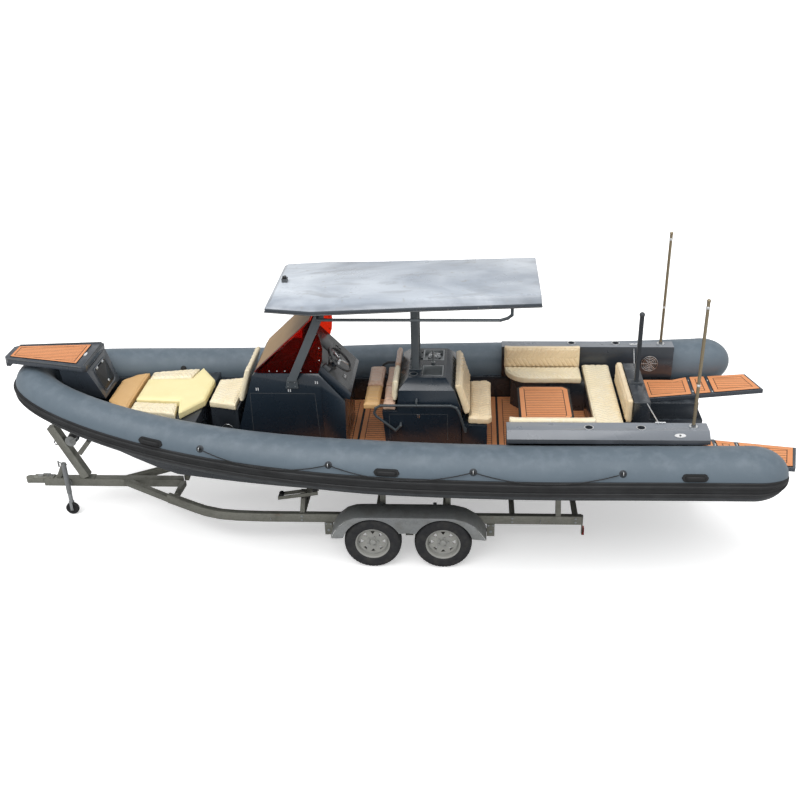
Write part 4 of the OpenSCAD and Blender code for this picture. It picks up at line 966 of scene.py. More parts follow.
def pad(name, node, nth, material, quilt="plain", tilt=0, face="z", body=ROOT, part=None, crown=0.012,
        border=0.030, replaces=True):
    """Queues one cushion: the nth solid of a node, shrunk a little so that it can swell back."""
    verts, faces = islands(node)[nth]
    pivot = verts.mean(0)
    flat = spun(verts, -tilt, pivot)
    if part:
        axis, low, high = part
        keep = np.clip(flat[:, axis], low, high)
        flat[:, axis] = keep
    low, high = flat.min(0), flat.max(0)
    middle, half = (low + high) / 2, (high - low) / 2
    shrink = np.minimum(0.006 / half, 0.12)
    small = middle + (flat - middle) * (1 - shrink)
    obj = make(name, small, faces, material, body, "cushion", True, [node] if replaces else [])
    order = {"z": (0, 1, 2), "x": (1, 2, 0), "-x": (1, 2, 0), "y": (0, 2, 1)}[face]
    sign = -1 if face == "-x" else 1
    remesh = obj.modifiers.new("remesh", "REMESH")
    remesh.mode = "VOXEL"
    remesh.voxel_size = 0.011
    bake(obj)
    PADS.append({"obj": obj, "tilt": tilt, "pivot": pivot, "quilt": quilt, "order": order, "sign": sign,
                 "low": low, "high": high, "crown": crown, "border": border,
                 "outline": flat_outline(flat, faces, order, sign)})
    return obj


def flat_outline(verts, faces, order, sign):
    """The outline of the solid's show face, in the two axes that lie in it."""
    turned = verts[:, order].copy()
    turned[:, 2] *= sign
    outline, _ = top_outline(turned, faces)
    return outline


def bake(obj):
    """Applies an object's modifiers to its mesh."""
    deps = bpy.context.evaluated_depsgraph_get()
    mesh = bpy.data.meshes.new_from_object(obj.evaluated_get(deps))
    old = obj.data
    obj.modifiers.clear()
    obj.data = mesh
    bpy.data.meshes.remove(old)


def coords(obj):
    out = np.empty(len(obj.data.vertices) * 3)
    obj.data.vertices.foreach_get("co", out)
    return out.reshape(-1, 3)


def set_coords(obj, values):
    obj.data.vertices.foreach_set("co", values.reshape(-1))
    obj.data.update()


def relax(obj, rounds):
    """Softens the corners left by the remesh."""
    fix = bmesh.new()
    fix.from_mesh(obj.data)
    for _ in range(rounds):
        bmesh.ops.smooth_vert(fix, verts=fix.verts, factor=0.5, use_axis_x=True, use_axis_y=True, use_axis_z=True)
    fix.to_mesh(obj.data)
    fix.free()


def swell(cap=0.009):
    """Inflates every queued cushion together as cloth, then applies the result."""
    starts = []
    for p in PADS:
        relax(p["obj"], 5)
        starts.append(coords(p["obj"]))
    for p in PADS:
        cloth = p["obj"].modifiers.new("cloth", "CLOTH")
        cloth.settings.use_pressure = True
        cloth.settings.uniform_pressure_force = 4
        cloth.settings.quality = 4
        cloth.settings.tension_stiffness = 18
        cloth.settings.compression_stiffness = 18
        cloth.settings.bending_stiffness = 0.4
        cloth.settings.effector_weights.gravity = 0
        cloth.point_cache.frame_start = 1
        cloth.point_cache.frame_end = 20
    for frame_no in range(1, 21):
        bpy.context.scene.frame_set(frame_no)
    for p in PADS:
        bake(p["obj"])
    bpy.context.scene.frame_set(1)
    for p, start in zip(PADS, starts):
        now = coords(p["obj"])
        if len(now) == len(start):
            move = now - start
            far = np.linalg.norm(move, axis=1, keepdims=True)
            set_coords(p["obj"], start + move * np.minimum(1, cap / np.maximum(far, 1e-9)))
        refine(p)


KEPT_SHARE = 0.6  # of a finished pad's triangles, so that the whole script adds under a million


def refine(p):
    """Adds the crown, the sewn channels and the edge seam, then thins out the flat parts of the mesh."""
    obj = p["obj"]
    sub = obj.modifiers.new("smooth", "SUBSURF")
    sub.levels = sub.render_levels = 1
    bake(obj)
    co = coords(obj)
    a, b, n = p["order"]
    middle = (p["low"] + p["high"]) / 2
    half = (p["high"] - p["low"]) / 2
    u, v = co[:, a] - middle[a], co[:, b] - middle[b]
    rise = (co[:, n] - middle[n]) / half[n] * p["sign"]
    inside = near_outline(co[:, [a, b]], p["outline"])
    top = np.clip((rise - 0.35) / 0.4, 0, 1)
    swell_up = p["crown"] * np.clip(inside / 0.12, 0, 1) ** 0.6
    seam = np.exp(-((inside - p["border"]) / 0.006) ** 2) * 0.0045
    lines = quilt_lines(p["quilt"], u, v, half[a], half[b])
    groove = np.exp(-(lines / 0.0075) ** 2) * 0.0060 * (inside > p["border"])
    puff = np.sin(np.minimum(lines, 0.03) / 0.03 * math.pi / 2) * 0.003 * (inside > p["border"])
    wobble = 0.0016 * np.sin(u * 21 + 1.3 * np.sin(v * 17)) * np.sin(v * 19 + 2.1)
    shift = top * (swell_up - p["crown"] * 0.75 - seam - groove + puff + wobble)
    co[:, n] += shift * p["sign"]
    slack = 0.004
    co = np.clip(co, p["low"] - slack * 0.5, p["high"] + slack)
    floor_axis = 2 if abs(p["tilt"]) < 1 else n
    if floor_axis == 2:
        co[:, 2] = np.maximum(co[:, 2], p["low"][2])
    set_coords(obj, spun(co, p["tilt"], p["pivot"]))
    thin = obj.modifiers.new("thin", "DECIMATE")
    thin.ratio = KEPT_SHARE
    bake(obj)
    obj.data.polygons.foreach_set("use_smooth", [True] * len(obj.data.polygons))
    obj.data.materials.clear()
    obj.data.materials.append(p["material"])


def upholstery():
    def add(name, node, nth, material, **rest):
        obj = pad(name, node, nth, material, **rest)
        PADS[-1]["material"] = M[material]
        return obj
    add("bow_front_cushion", "bow_cushions", 0, "tan", quilt="plain")
    add("bow_starboard_cushion", "bow_cushions", 1, "cream", quilt="leaf")
    add("bow_port_cushion", "bow_cushions", 2, "cream", quilt="leaf")
    add("bow_infill_cushion", "bow_infill", 0, "butter", quilt="plain", crown=0.008, border=0.022)
    add("console_seat_cushion", "console_seat", 1, "cream", quilt="leaf_across")
    add("console_seat_back", "console_seat", 0, "cream", quilt="leaf_across", tilt=-16.5, face="x")
    add("aft_seat_cushion", "aft_seat", 1, "sand", quilt="leaf_across")
    add("aft_seat_back", "aft_seat", 0, "sand", quilt="leaf_across", tilt=17, face="-x")
    add("helm_back_starboard", "helm_seats", 0, "rose", quilt="channels_along", tilt=-4.8, face="x")
    add("helm_back_port", "helm_seats", 1, "cream", quilt="channels_along", tilt=-4.8, face="x")
    add("helm_seat_starboard", "helm_seats", 2, "rose", quilt="channels", crown=0.008)
    add("helm_seat_port", "helm_seats", 3, "rose", quilt="channels", crown=0.008)
    add("bolster_pad_port", "bolster_port", 0, "tan", quilt="channels", body="port_bolster", crown=0.006)
    add("bolster_pad_starboard", "bolster_starboard", 0, "rose", quilt="channels", body="starboard_bolster",
        crown=0.006)
    add("lounge_aft_cushion", "lounge_cushions", 0, "cream", quilt="leaf_across")
    add("lounge_starboard_cushion", "lounge_cushions", 1, "cream", quilt="leaf")
    add("lounge_port_cushion", "lounge_cushions", 2, "cream", quilt="leaf")
    add("lounge_aft_back", "lounge_backrests", 0, "sand", quilt="leaf", face="x", crown=0.006)
    add("lounge_starboard_back", "lounge_backrests", 1, "sand", quilt="leaf", face="y", crown=0.006)
    add("lounge_port_back", "lounge_backrests", 2, "cream", quilt="leaf", face="y", crown=0.006)
    PADS[-1]["sign"] = -1
    PADS[-1]["outline"] = PADS[-2]["outline"]
    swell()


# ---------------------------------------------------------------- helm, windscreen, roof and seats

# the dash runs down and aft from its top edge, seen from the side, in millimetres
DASH_TOP = at(1076, 0, 2344)
DASH_DOWN = Vector((-442, 0, -464)).normalized()
DASH_OUT = Vector((DASH_DOWN.z, 0, -DASH_DOWN.x))
DASH_AXES = Matrix((-DASH_DOWN, Vector((0, 1, 0)), DASH_OUT)).transposed()


def on_dash(down, y, proud):
    """A place on the dash, in metres down from its top edge, across and proud of its face."""
    return DASH_TOP + DASH_DOWN * down + Vector((0, y, 0)) + DASH_OUT * proud


def helm_wheel():
    hub = on_dash(0.318, 0.200, 0.118)
    radius, thick, rim = 0.163, 0.0145, Build()
    verts = []
    for a in turn(144):
        grip = thick + 0.0014 * max(0.0, math.sin(24 * a))
        for b in turn(14):
            r = radius + grip * math.cos(b)
            verts.append(hub + DASH_AXES @ Vector((r * math.cos(a), r * math.sin(a), grip * math.sin(b))))
    rim.add(verts, stacked(14, 144, True))
    rim.piece("helm_rim", "black", "helm", "dark_metal", True, ["helm_wheel"])
    metal = Build()
    for a in (90, 210, 330):
        k = math.radians(a)
        out = DASH_AXES @ Vector((math.cos(k), math.sin(k), 0))
        side = DASH_OUT.cross(out)
        axes = Matrix((out, side, DASH_OUT)).transposed()
        metal.block(hub + out * 0.088 - DASH_OUT * 0.004, (0.120, 0.026, 0.005), axes, 0.0015)
        metal.block(hub + out * 0.088 + side * 0.010, (0.118, 0.004, 0.004), axes, 0.001)
        metal.block(hub + out * 0.088 - side * 0.010, (0.118, 0.004, 0.004), axes, 0.001)
    metal.turned(hub - DASH_OUT * 0.078, DASH_OUT, [(0.009, 0), (0.009, 0.066), (0.031, 0.070), (0.033, 0.084),
                                                    (0.027, 0.090), (0.020, 0.090)], 48)
    metal.piece("helm_spokes", "chrome", "helm", "stainless", True)
    cap = Build()
    cap.turned(hub + DASH_OUT * 0.0122, DASH_OUT, [(0.020, 0), (0.019, 0.004), (0.010, 0.007), (0.003, 0.0075)], 32)
    cap.piece("helm_cap", "black", "helm", "dark_metal", True)


def dash_face():
    """Instruments with blank faces, switches and a display."""
    black, bright, glass = Build(), Build(), Build()
    black.block(on_dash(0.150, -0.16, 0.004), (0.200, 0.300, 0.008), DASH_AXES, 0.003)
    glass.block(on_dash(0.150, -0.16, 0.0095), (0.176, 0.274, 0.003), DASH_AXES, 0.001)
    for y in (0.115, 0.200, 0.285):
        centre = on_dash(0.085, y, 0)
        bright.turned(centre, DASH_OUT, [(0.034, 0), (0.034, 0.006), (0.030, 0.009), (0.027, 0.006)], 40)
        glass.turned(centre + DASH_OUT * 0.003, DASH_OUT, [(0.027, 0), (0.027, 0.003), (0.010, 0.0034)], 40)
    for row, down in enumerate((0.300, 0.345)):
        for k in range(5):
            place = on_dash(down, -0.30 + 0.060 * k, 0.005)
            black.block(place, (0.034, 0.022, 0.010), DASH_AXES, 0.002)
            bright.block(place + DASH_OUT * 0.006 - DASH_DOWN * 0.008, (0.006, 0.010, 0.002), DASH_AXES, 0.0005)
    for y in (0.185, 0.225):
        bright.block(on_dash(0.505, y, 0.006), (0.030, 0.024, 0.012), DASH_AXES, 0.003)
    black.block(on_dash(0.505, 0.205, 0.002), (0.060, 0.090, 0.004), DASH_AXES, 0.002)
    black.turned(on_dash(0.318, 0.200, 0), DASH_OUT, [(0.055, 0), (0.052, 0.010), (0.042, 0.016)], 40)
    black.piece("dash_black", "black", slot="dark_metal", bevel=0.0008)
    bright.piece("dash_bright", "chrome", slot="stainless", smooth=True)
    glass.piece("dash_glass", "black", slot="dark_metal", smooth=True)
    # the dash's own grey face, a skin just proud of the navy moulding
    face = Build()
    face.block(on_dash(0.300, 0, 0.0004), (0.590, 0.826, 0.002), DASH_AXES, 0.001)
    face.piece("dash_face", "dash", slot="gelcoat")


PANE_LOW, PANE_HIGH = at(1700, 0, 2149), at(1042, 0, 2768)
PANE_UP = (PANE_HIGH - PANE_LOW).normalized()
PANE_OUT = Vector((PANE_UP.z, 0, -PANE_UP.x))


def film_sheet(build, u0, u1, y0, y1, lift, rows=28, cols=20):
    """A crinkled sheet stuck on the outside of the front pane."""
    long = (PANE_HIGH - PANE_LOW).length
    verts = []
    for i in range(rows):
        for j in range(cols):
            u = (u0 + (u1 - u0) * i / (rows - 1)) * long
            y = y0 + (y1 - y0) * j / (cols - 1)
            ripple = 0.0010 * (1 + math.sin(u * 24 + 2.2 * math.sin(y * 13)) * math.sin(y * 31 + u * 7))
            verts.append(PANE_LOW + PANE_UP * u + Vector((0, y, 0)) + PANE_OUT * (lift + ripple))
    build.add(verts, [(i * cols + j, i * cols + j + 1, (i + 1) * cols + j + 1, (i + 1) * cols + j)
                      for i in range(rows - 1) for j in range(cols - 1)])


def windscreen_trim():
    finish_node("windscreen", "acrylic", 0.001)
    film = Build()
    film_sheet(film, 0.015, 0.985, -0.415, 0.385, 0.0012)
    film.piece("screen_film", "film", slot="acrylic", smooth=True)
    strips = Build()
    film_sheet(strips, 0.01, 0.99, 0.392, 0.4375, 0.0014, 20, 4)
    film_sheet(strips, 0.01, 0.99, -0.4375, -0.422, 0.0014, 20, 3)
    strips.piece("screen_corner_strips", "plum", slot="acrylic", smooth=True)
    studs = Build()
    for side in (1, -1):
        for x in (1530, 1445, 1356, 1180, 1070):
            studs.turned(at(x, side * 438, 2160), Vector((0, side, 0)),
                         [(0.008, 0), (0.0075, 0.003), (0.003, 0.005)], 16)
        for x, z in ((965, 2290), (960, 2440), (985, 2600)):
            studs.turned(at(x, side * 438, z), Vector((0, side, 0)), [(0.007, 0), (0.003, 0.004)], 14)
    studs.piece("screen_studs", "chrome", slot="stainless", smooth=True)


def console_trim():
    """Double hinges and the hatch seams on the console's sides."""
    pale, seams = Build(), Build()
    for side in (1, -1):
        out = Vector((0, side, 0))
        for x, z in ((1683, 1941), (1322, 1927), (1012, 2027)):
            for dx in (-11, 11):
                pale.block(at(x + dx, side * 451, z), (0.011, 0.003, 0.034), None, 0.001)
                pale.turned(at(x + dx, side * 452, z + 9), out, [(0.003, 0), (0.001, 0.002)], 10)
        for x0, x1, z0, z1 in ((1770, 1040, 1890, 1886), (1770, 1776, 1890, 1260), (1040, 1010, 1886, 1260)):
            a, b = at(x0, side * 450.6, z0), at(x1, side * 450.6, z1)
            along = (b - a).normalized()
            axes = Matrix((along, out, along.cross(out))).transposed()
            seams.block((a + b) / 2, ((b - a).length, 0.0012, 0.004), axes)
    pale.piece("console_hinges", "white", slot="stainless", bevel=0.0006)
    seams.piece("console_seams", "black", slot="dark_metal")


def roof_trim():
    """A dark rubber edge round the roof, and the bolts of its frame."""
    lip, bolts = Build(), Build()
    rim = [(1472, 645, 2992), (965, 755, 3002), (-200, 700, 3030), (-1436, 625, 3046)]
    loop = [at(x, y - 9, z - 43) for x, y, z in rim] + [at(x, 9 - y, z - 43) for x, y, z in reversed(rim)]
    for a, b in zip(loop, loop[1:] + loop[:1]):
        lip.rod([a + (b - a) * k / 12 for k in range(13)], 0.0075, 10)
    lip.piece("roof_edge_trim", "black", slot="rubber", smooth=True)
    for side in (1, -1):
        for x, z in ((1330, 1985), (1248, 1985), (1322, 2035), (1252, 2035)):
            bolts.turned(at(x, side * 469.5, z), Vector((0, side, 0)), [(0.009, 0), (0.008, 0.005), (0.003, 0.006)], 6)
        for y in (114, 186):
            for x in (-138, -12):
                bolts.turned(at(x, side * y, 2070), UP, [(0.008, 0), (0.007, 0.005), (0.003, 0.006)], 6)
    bolts.piece("frame_bolts", "steel", slot="stainless", smooth=True)


def galley_trim():
    """The cooker's burner, its pan support, the basin's drain, vents and catches on the seat module."""
    bright, dark = Build(), Build()
    top = 2064
    for r in (0.058, 0.036):
        bright.ring(at(-275, -200, top + 4), UP, r, 0.003)
    for a in range(4):
        k = math.pi / 2 * a + 0.4
        arm = Vector((math.cos(k), math.sin(k), 0))
        bright.rod([at(-275, -200, top + 8) + arm * 0.020, at(-275, -200, top + 8) + arm * 0.075], 0.0035)
        bright.rod([at(-275, -200, top - 18) + arm * 0.074, at(-275, -200, top + 8) + arm * 0.075], 0.0035)
    bright.turned(at(-275, 210, 1943), UP, [(0.030, 0), (0.028, 0.004), (0.018, 0.002)], 32)
    for y in (-150, -215, -275):
        dark.turned(at(-132, y, 2060), UP, [(0.012, 0), (0.011, 0.012), (0.004, 0.014)], 20)
    for side in (1, -1):
        out = Vector((0, side, 0))
        for x in (100, -480):
            bright.ring(at(x, side * 501, 1190), out, 0.080, 0.003, 48)
        for x, z in ((-115, 1636),):
            bright.block(at(x, side * 502, z), (0.030, 0.005, 0.044), None, 0.002)
        for x0, z0, x1, z1 in ((-440, 1660, 210, 1660), (-440, 1660, -440, 1330), (210, 1660, 210, 1330)):
            a, b = at(x0, side * 500.6, z0), at(x1, side * 500.6, z1)
            along = (b - a).normalized()
            axes = Matrix((along, out, along.cross(out))).transposed()
            dark.block((a + b) / 2, ((b - a).length, 0.0012, 0.004), axes)
    bright.piece("galley_bright", "chrome", slot="stainless", smooth=True)
    dark.piece("galley_dark", "black", slot="dark_metal", smooth=True)
    glow = Build()
    for side in (1, -1):
        for x in (100, -480):
            glow.turned(at(x, side * 470.5, 1190), Vector((0, side, 0)), [(0.078, 0), (0.070, 0.006), (0.02, 0.008)], 48)
    glow.piece("module_speakers", "black", slot="dark_metal", smooth=True)


def helm_and_roof():
    helm_wheel()
    dash_face()
    windscreen_trim()
    console_trim()
    roof_trim()
    galley_trim()


# ---------------------------------------------------------------- bow and stern details


def slotted_plate(build, centre, normal, along, half_long, half_wide, thick):
    """An oval plate with a raised rim."""
    axes = Matrix((along, Vector(normal).cross(along), Vector(normal))).transposed()
    rings = []
    for k, h in ((1.0, 0), (1.0, thick * 0.6), (0.94, thick), (0.86, thick), (0.80, thick * 0.6)):
        rings.append([Vector(centre) + axes @ Vector((half_long * k * math.cos(a), half_wide * k * math.sin(a), h))
                      for a in turn(36)])
    build.add([p for r in rings for p in r], stacked(36, len(rings)))


def stern_details():
    pale, bright, dark, well = Build(), Build(), Build(), Build()
    ahead = Vector((1, 0, 0))
    for side in (1, -1):
        inward = Vector((0, -side, 0))
        slope = Vector((0, side * 64, 88)).normalized()
        slotted_plate(pale, at(-2880, side * 1168, 1789), slope, ahead, 0.060, 0.024, 0.005)
        dark.turned(at(-2880, side * 1168, 1789) + slope * 0.004, slope, [(0.012, 0), (0.010, 0.003), (0.004, 0.004)], 20)
        # speaker grilles: rings and spokes
        middle = at(-2905, side * 941, 1600)
        for r in (0.100, 0.078, 0.056, 0.034, 0.014):
            bright.ring(middle, inward, r, 0.0022, 48, 8)
        for a in range(8):
            k = math.pi * a / 4
            arm = Vector((math.cos(k), 0, math.sin(k)))
            bright.rod([middle + arm * 0.012, middle + arm * 0.100], 0.002, 8)
        # socket screws and pole clamps
        foot = at(-3036, side * 1040, 1834)
        for a in range(3):
            k = 2.1 * a + 0.5
            bright.turned(foot + Vector((math.cos(k), math.sin(k), 0)) * 0.036, UP, [(0.005, 0), (0.002, 0.003)], 12)
        dark.turned(foot, UP, [(0.024, 0), (0.023, 0.018), (0.0195, 0.020)], 28)
        for z in (2300, 3160):
            bright.turned(at(-3036, side * 1040, z), UP, [(0.0176, 0), (0.0196, 0.002), (0.0196, 0.024), (0.0176, 0.026)], 28)
        # platform hinges
        for x in (-3400, -3636):
            bright.block(at(x, side * 640, 1379), (0.016, 0.050, 0.006), None, 0.002)
            bright.block(at(x, side * 940, 1379), (0.016, 0.050, 0.006), None, 0.002)
        # non-skid treads on the steps and a lacing cleat
        for k in range(4):
            dark.block(at(-2740, side * (560 + 100 * k), 1301.5), (0.060, 0.070, 0.003), None, 0.001)
        cleat = at(-2700, side * 985, 1822)
        bright.rod([cleat + Vector((-0.055, 0, 0.022)), cleat + Vector((0.055, 0, 0.022))], 0.006)
        bright.rod([cleat + Vector((-0.02, 0, 0)), cleat + Vector((-0.02, 0, 0.022))], 0.006)
        bright.rod([cleat + Vector((0.02, 0, 0)), cleat + Vector((0.02, 0, 0.022))], 0.006)
    # mouldings in the engine well: raised ribs that run to a drain
    for side in (1, -1):
        for k, (x0, x1, y0, y1) in enumerate(((-3420, -2860, 330, 120), (-3420, -2860, 230, 60), (-3380, -2860, 370, 300))):
            pts = [at(x0 + (x1 - x0) * t / 12, side * (y0 + (y1 - y0) * (t / 12) ** 1.8), 1046) for t in range(13)]
            well.rod(pts, 0.010, 10)
    slotted_plate(pale, at(-2960, 150, 1042), (0, 0, 1), ahead, 0.050, 0.036, 0.006)
    well.piece("well_mouldings", "grey", slot="gelcoat", smooth=True)
    # locker hatch seams and latches on the bulkhead's aft face and the engine well
    for y in (-250, 250):
        bright.block(at(-2682, y, 1560), (0.006, 0.060, 0.030), None, 0.002)
    for y0 in (-440, 20):
        for z in (1250, 1740):
            dark.block(at(-2680.6, y0 + 210, z), (0.0012, 0.420, 0.005))
        for y in (y0, y0 + 420):
            dark.block(at(-2680.6, y, 1495), (0.0012, 0.005, 0.490))
    dark.turned(at(-2590, 0, 2656), UP, [(0.012, 0), (0.012, 0.02), (0.008, 0.028)], 24)
    pale.piece("stern_caps", "white", slot="stainless", smooth=True)
    bright.piece("stern_bright", "chrome", slot="stainless", smooth=True)
    dark.piece("stern_dark", "black", slot="dark_metal", smooth=True)


def bow_details():
    """The bow locker door's frame, hinge and handle, the step's fittings and the seat-base speakers."""
    trim, bright, dark, edge, pale = Build(), Build(), Build(), Build(), Build()
    low, high = at(3505, 0, 1706), at(3640, 0, 2080)
    up = (high - low).normalized()
    out = Vector((-up.z, 0, up.x))
    across = Vector((0, 1, 0))
    axes = Matrix((across, up, out)).transposed()
    centre = (low + high) / 2
    door = axes

    def frame_ring(half_w, half_h, corner, lift, radius):
        pts = []
        for cx, cy, start in ((1, 1, 0), (-1, 1, 90), (-1, -1, 180), (1, -1, 270)):
            for a in range(0, 91, 15):
                k = math.radians(start + a)
                pts.append(centre + door @ Vector((cx * (half_w - corner) + corner * math.cos(k),
                                                   cy * (half_h - corner) + corner * math.sin(k), lift)))
        return pts + pts[:2]
    trim.rod(frame_ring(0.172, 0.146, 0.05, 0.0035, 0.006), 0.006, 10)
    trim.piece("locker_frame", "coaming", slot="gelcoat", smooth=True)
    for s in (-1, 1):
        bright.block(centre + door @ Vector((s * 0.09, 0.132, 0.010)), (0.050, 0.024, 0.008), axes, 0.002)
    grip = Build()
    grip.turned(centre + door @ Vector((0, -0.080, 0.014)), out, [(0.020, 0), (0.018, 0.003), (0.008, 0.004)], 28)
    grip.piece("locker_handle", "chrome", "bow_locker_door", "stainless", True)
    # rubber lips round the step's edges, and an oval fitting aft of its pad
    for x in (3654, 3674):
        edge.rod([at(x, y, 2147) for y in range(-308, 309, 28)], 0.007, 10)
    for s in (1, -1):
        edge.rod([at(3684 + 910 * k / 10, s * (341 - 154 * k / 10), 2147.5 + 32.8 * k / 10) for k in range(11)], 0.007, 10)
    slotted_plate(pale, at(3752, 0, 2150), (-0.036, 0, 1), across, 0.048, 0.017, 0.005)
    for s in (1, -1):
        dark.turned(at(2110, s * 281, 1330), Vector((0, s, 0)), [(0.072, 0), (0.064, 0.008), (0.02, 0.010)], 44)
        bright.ring(at(2110, s * 304.5, 1330), Vector((0.1816, s * 0.9834, 0)), 0.076, 0.003, 48)
    bright.piece("bow_bright", "chrome", slot="stainless", smooth=True)
    dark.piece("bow_dark", "black", slot="dark_metal", smooth=True)
    edge.piece("step_lips", "black", slot="rubber", smooth=True)
    pale.piece("step_fitting", "white", slot="stainless", smooth=True)


def ends():
    stern_details()
    bow_details()


# ---------------------------------------------------------------- trailer details

WHEEL_BODIES = {"front_port": (397, 1), "rear_port": (-397, 1), "front_starboard": (397, -1), "rear_starboard": (-397, -1)}


def tyre(name, x, side):
    """A road tyre: rounded walls, three grooves round it, cut shoulder blocks and sipes."""
    centre = at(x, side * 1030, 325)
    half, steps = 0.090, 240
    wall = [(0.188, -0.068), (0.196, -0.080), (0.215, -0.087), (0.246, -0.0895), (0.262, -0.0890), (0.265, -0.0902),
            (0.270, -0.0890), (0.292, -0.0845), (0.306, -0.0780)]
    crown = np.linspace(-0.074, 0.074, 41)
    ring_ws = [w for _, w in wall] + list(crown) + [-w for _, w in wall[::-1]]
    verts = []
    for k, a in enumerate(turn(steps)):
        for j, w in enumerate(ring_ws):
            if j < len(wall):
                r = wall[j][0]
            elif j >= len(wall) + len(crown):
                r = wall[::-1][j - len(wall) - len(crown)][0]
            else:
                r = 0.325 - 0.012 * (abs(w) / 0.074) ** 2.6
                if min(abs(w), abs(abs(w) - 0.036)) < 0.0035:
                    r -= 0.0085
                shoulder = abs(w) > 0.046 and (k + (2 if w > 0 else 0)) % 5 == 0
                sipe = 0.008 < abs(w) < 0.030 and (k + int(w * 400)) % 4 == 0
                r -= 0.0080 if shoulder else 0.0045 if sipe else 0.0
            verts.append(centre + Vector((r * math.cos(a), w * side, r * math.sin(a))))
    faces = stacked(len(ring_ws), steps, True)
    build = Build().add(verts, faces)
    obj = build.piece(f"tyre_tread_{name}", "tyre", f"{name}_wheel", "tyre", True, [f"tyre_{name}"])
    return obj


def wheel_details():
    for name, (x, side) in WHEEL_BODIES.items():
        tyre(name, x, side)
        bright, dark = Build(), Build()
        face = side * (1120 - 90 + 30)
        out = Vector((0, side, 0))
        hub = at(x, face, 325)
        bright.ring(hub + out * 0.004, out, 0.164, 0.0035, 72, 8)
        bright.turned(hub + out * 0.022, out, [(0.026, 0), (0.024, 0.002), (0.010, 0.0035)], 32)
        dark.turned(at(x + 150, face + side * 6, 325), out, [(0.005, 0), (0.005, 0.022), (0.003, 0.024)], 12)
        for k in range(4):
            a = math.radians(30 + 9 * k)
            dark.block(hub + Vector((math.cos(a) * 0.176, side * 0.003, math.sin(a) * 0.176)), (0.010, 0.008, 0.006), None, 0.001)
        bright.piece(f"wheel_trim_{name}", "rim", f"{name}_wheel", "rim", True)
        dark.piece(f"wheel_valve_{name}", "rubber", f"{name}_wheel", "rubber", True)


def bolt(build, place, normal, size=0.010):
    """A hexagon head on a washer."""
    build.turned(place, normal, [(size * 1.35, 0), (size * 1.35, 0.002), (size * 0.9, 0.0021)], 20)
    build.turned(Vector(place) + Vector(normal) * 0.002, normal, [(size, 0), (size, size * 0.65), (size * 0.8, size * 0.75)], 6)


def trailer_details():
    bolts, bright, dark = Build(), Build(), Build()
    for side in (1, -1):
        out = Vector((0, side, 0))
        for x in (1240, -1180, -1900):
            for dz in (425, 475):
                bolt(bolts, at(x, side * 800.5, dz), out)
        for x in (935, 0, -935):
            for dx in (-28, 28):
                bolt(bolts, at(x + dx, side * 810.5, 380), out, 0.009)
            bolt(bolts, at(x, side * 810.5, 294), out, 0.013)
        for x in (300, -300):
            for z in (440, 480):
                bolt(bolts, at(x, side * 807.5, z), out, 0.008)
            for y in (868, 888):
                bolt(bolts, at(x, side * y, 692.5), UP, 0.007)
            # slots punched in the fender brackets show as dark ovals, drawn as black blocks: painted shade standing in
            # for the openings
            for k in range(4):
                dark.block(at(x, side * 807.6, 520 + 34 * k), (0.010, 0.0012, 0.020))
        # leaf-spring clamps
        for x in (397, -397):
            for dx in (-34, 34):
                bright.rod([at(x + dx, side * y, z) for y, z in ((733, 256), (733, 346), (740, 356), (800, 356),
                                                                 (807, 346), (807, 256))], 0.006)
            bright.block(at(x, side * 770, 266), (0.110, 0.090, 0.008), None, 0.001)
        # strap hooks on the rails and reflector blocks
        for x in (1600, -1500):
            bright.ring(at(x, side * 806, 440), Vector((1, 0, 0)), 0.016, 0.004, 24, 8)
        dark.block(at(-1996, side * 772, 300), (0.004, 0.060, 0.084), None, 0.002)
    # coupling: latch handle, ball clamp and safety chain
    bright.rod([at(4600, 0, 490), at(4560, 0, 520), at(4480, 0, 520)], 0.010)
    bright.block(at(4610, 0, 494), (0.060, 0.034, 0.016), None, 0.003)
    for x in (4470, 4520):
        bolt(bolts, at(x, 0, 488), UP, 0.009)
    chain = Build()
    for k in range(9):
        spot = at(4560 - 16 * k, -58, 430 - 70 * math.sin(math.pi * k / 8))
        chain.ring(spot, Vector((0, 1, 0)) if k % 2 else Vector((0.6, 0, 0.8)), 0.010, 0.0028, 16, 8)
    chain.piece("safety_chain", "zinc_bright", slot="galvanised", smooth=True)
    # winch: drum with its wound strap, crank and hook to the bow eye
    drum = at(4120, 0, 1015)
    strap = Build()
    strap.turned(drum + Vector((0, -0.025, 0)), Vector((0, 1, 0)), [(0.050, 0), (0.062, 0.001), (0.063, 0.025), (0.062, 0.049), (0.050, 0.05)], 40)
    strap.piece("winch_strap", "rubber", slot="rubber", smooth=True)
    for s in (1, -1):
        bright.turned(drum + Vector((0, s * 0.055, 0)), Vector((0, s, 0)), [(0.068, 0), (0.068, 0.003), (0.012, 0.005)], 36)
    bright.rod([drum + Vector(p) for p in ((0, 0.055, 0), (0, 0.082, 0), (-0.06, 0.088, 0.04), (-0.13, 0.088, 0.09))], 0.008)
    dark.rod([drum + Vector((-0.13, 0.088, 0.09)), drum + Vector((-0.13, 0.150, 0.09))], 0.014)
    dark.rod([at(x, 0, z) for x, z in ((4306, 1012), (4336, 996), (4350, 966), (4338, 940), (4318, 938))], 0.008)
    bolts.piece("trailer_bolts", "steel", slot="galvanised", smooth=True)
    bright.piece("trailer_bright", "zinc_bright", slot="galvanised", smooth=True)
    dark.piece("trailer_dark", "black", slot="rubber", smooth=True)


def trailer():
    wheel_details()
    trailer_details()


# ---------------------------------------------------------------- stage, lights and camera


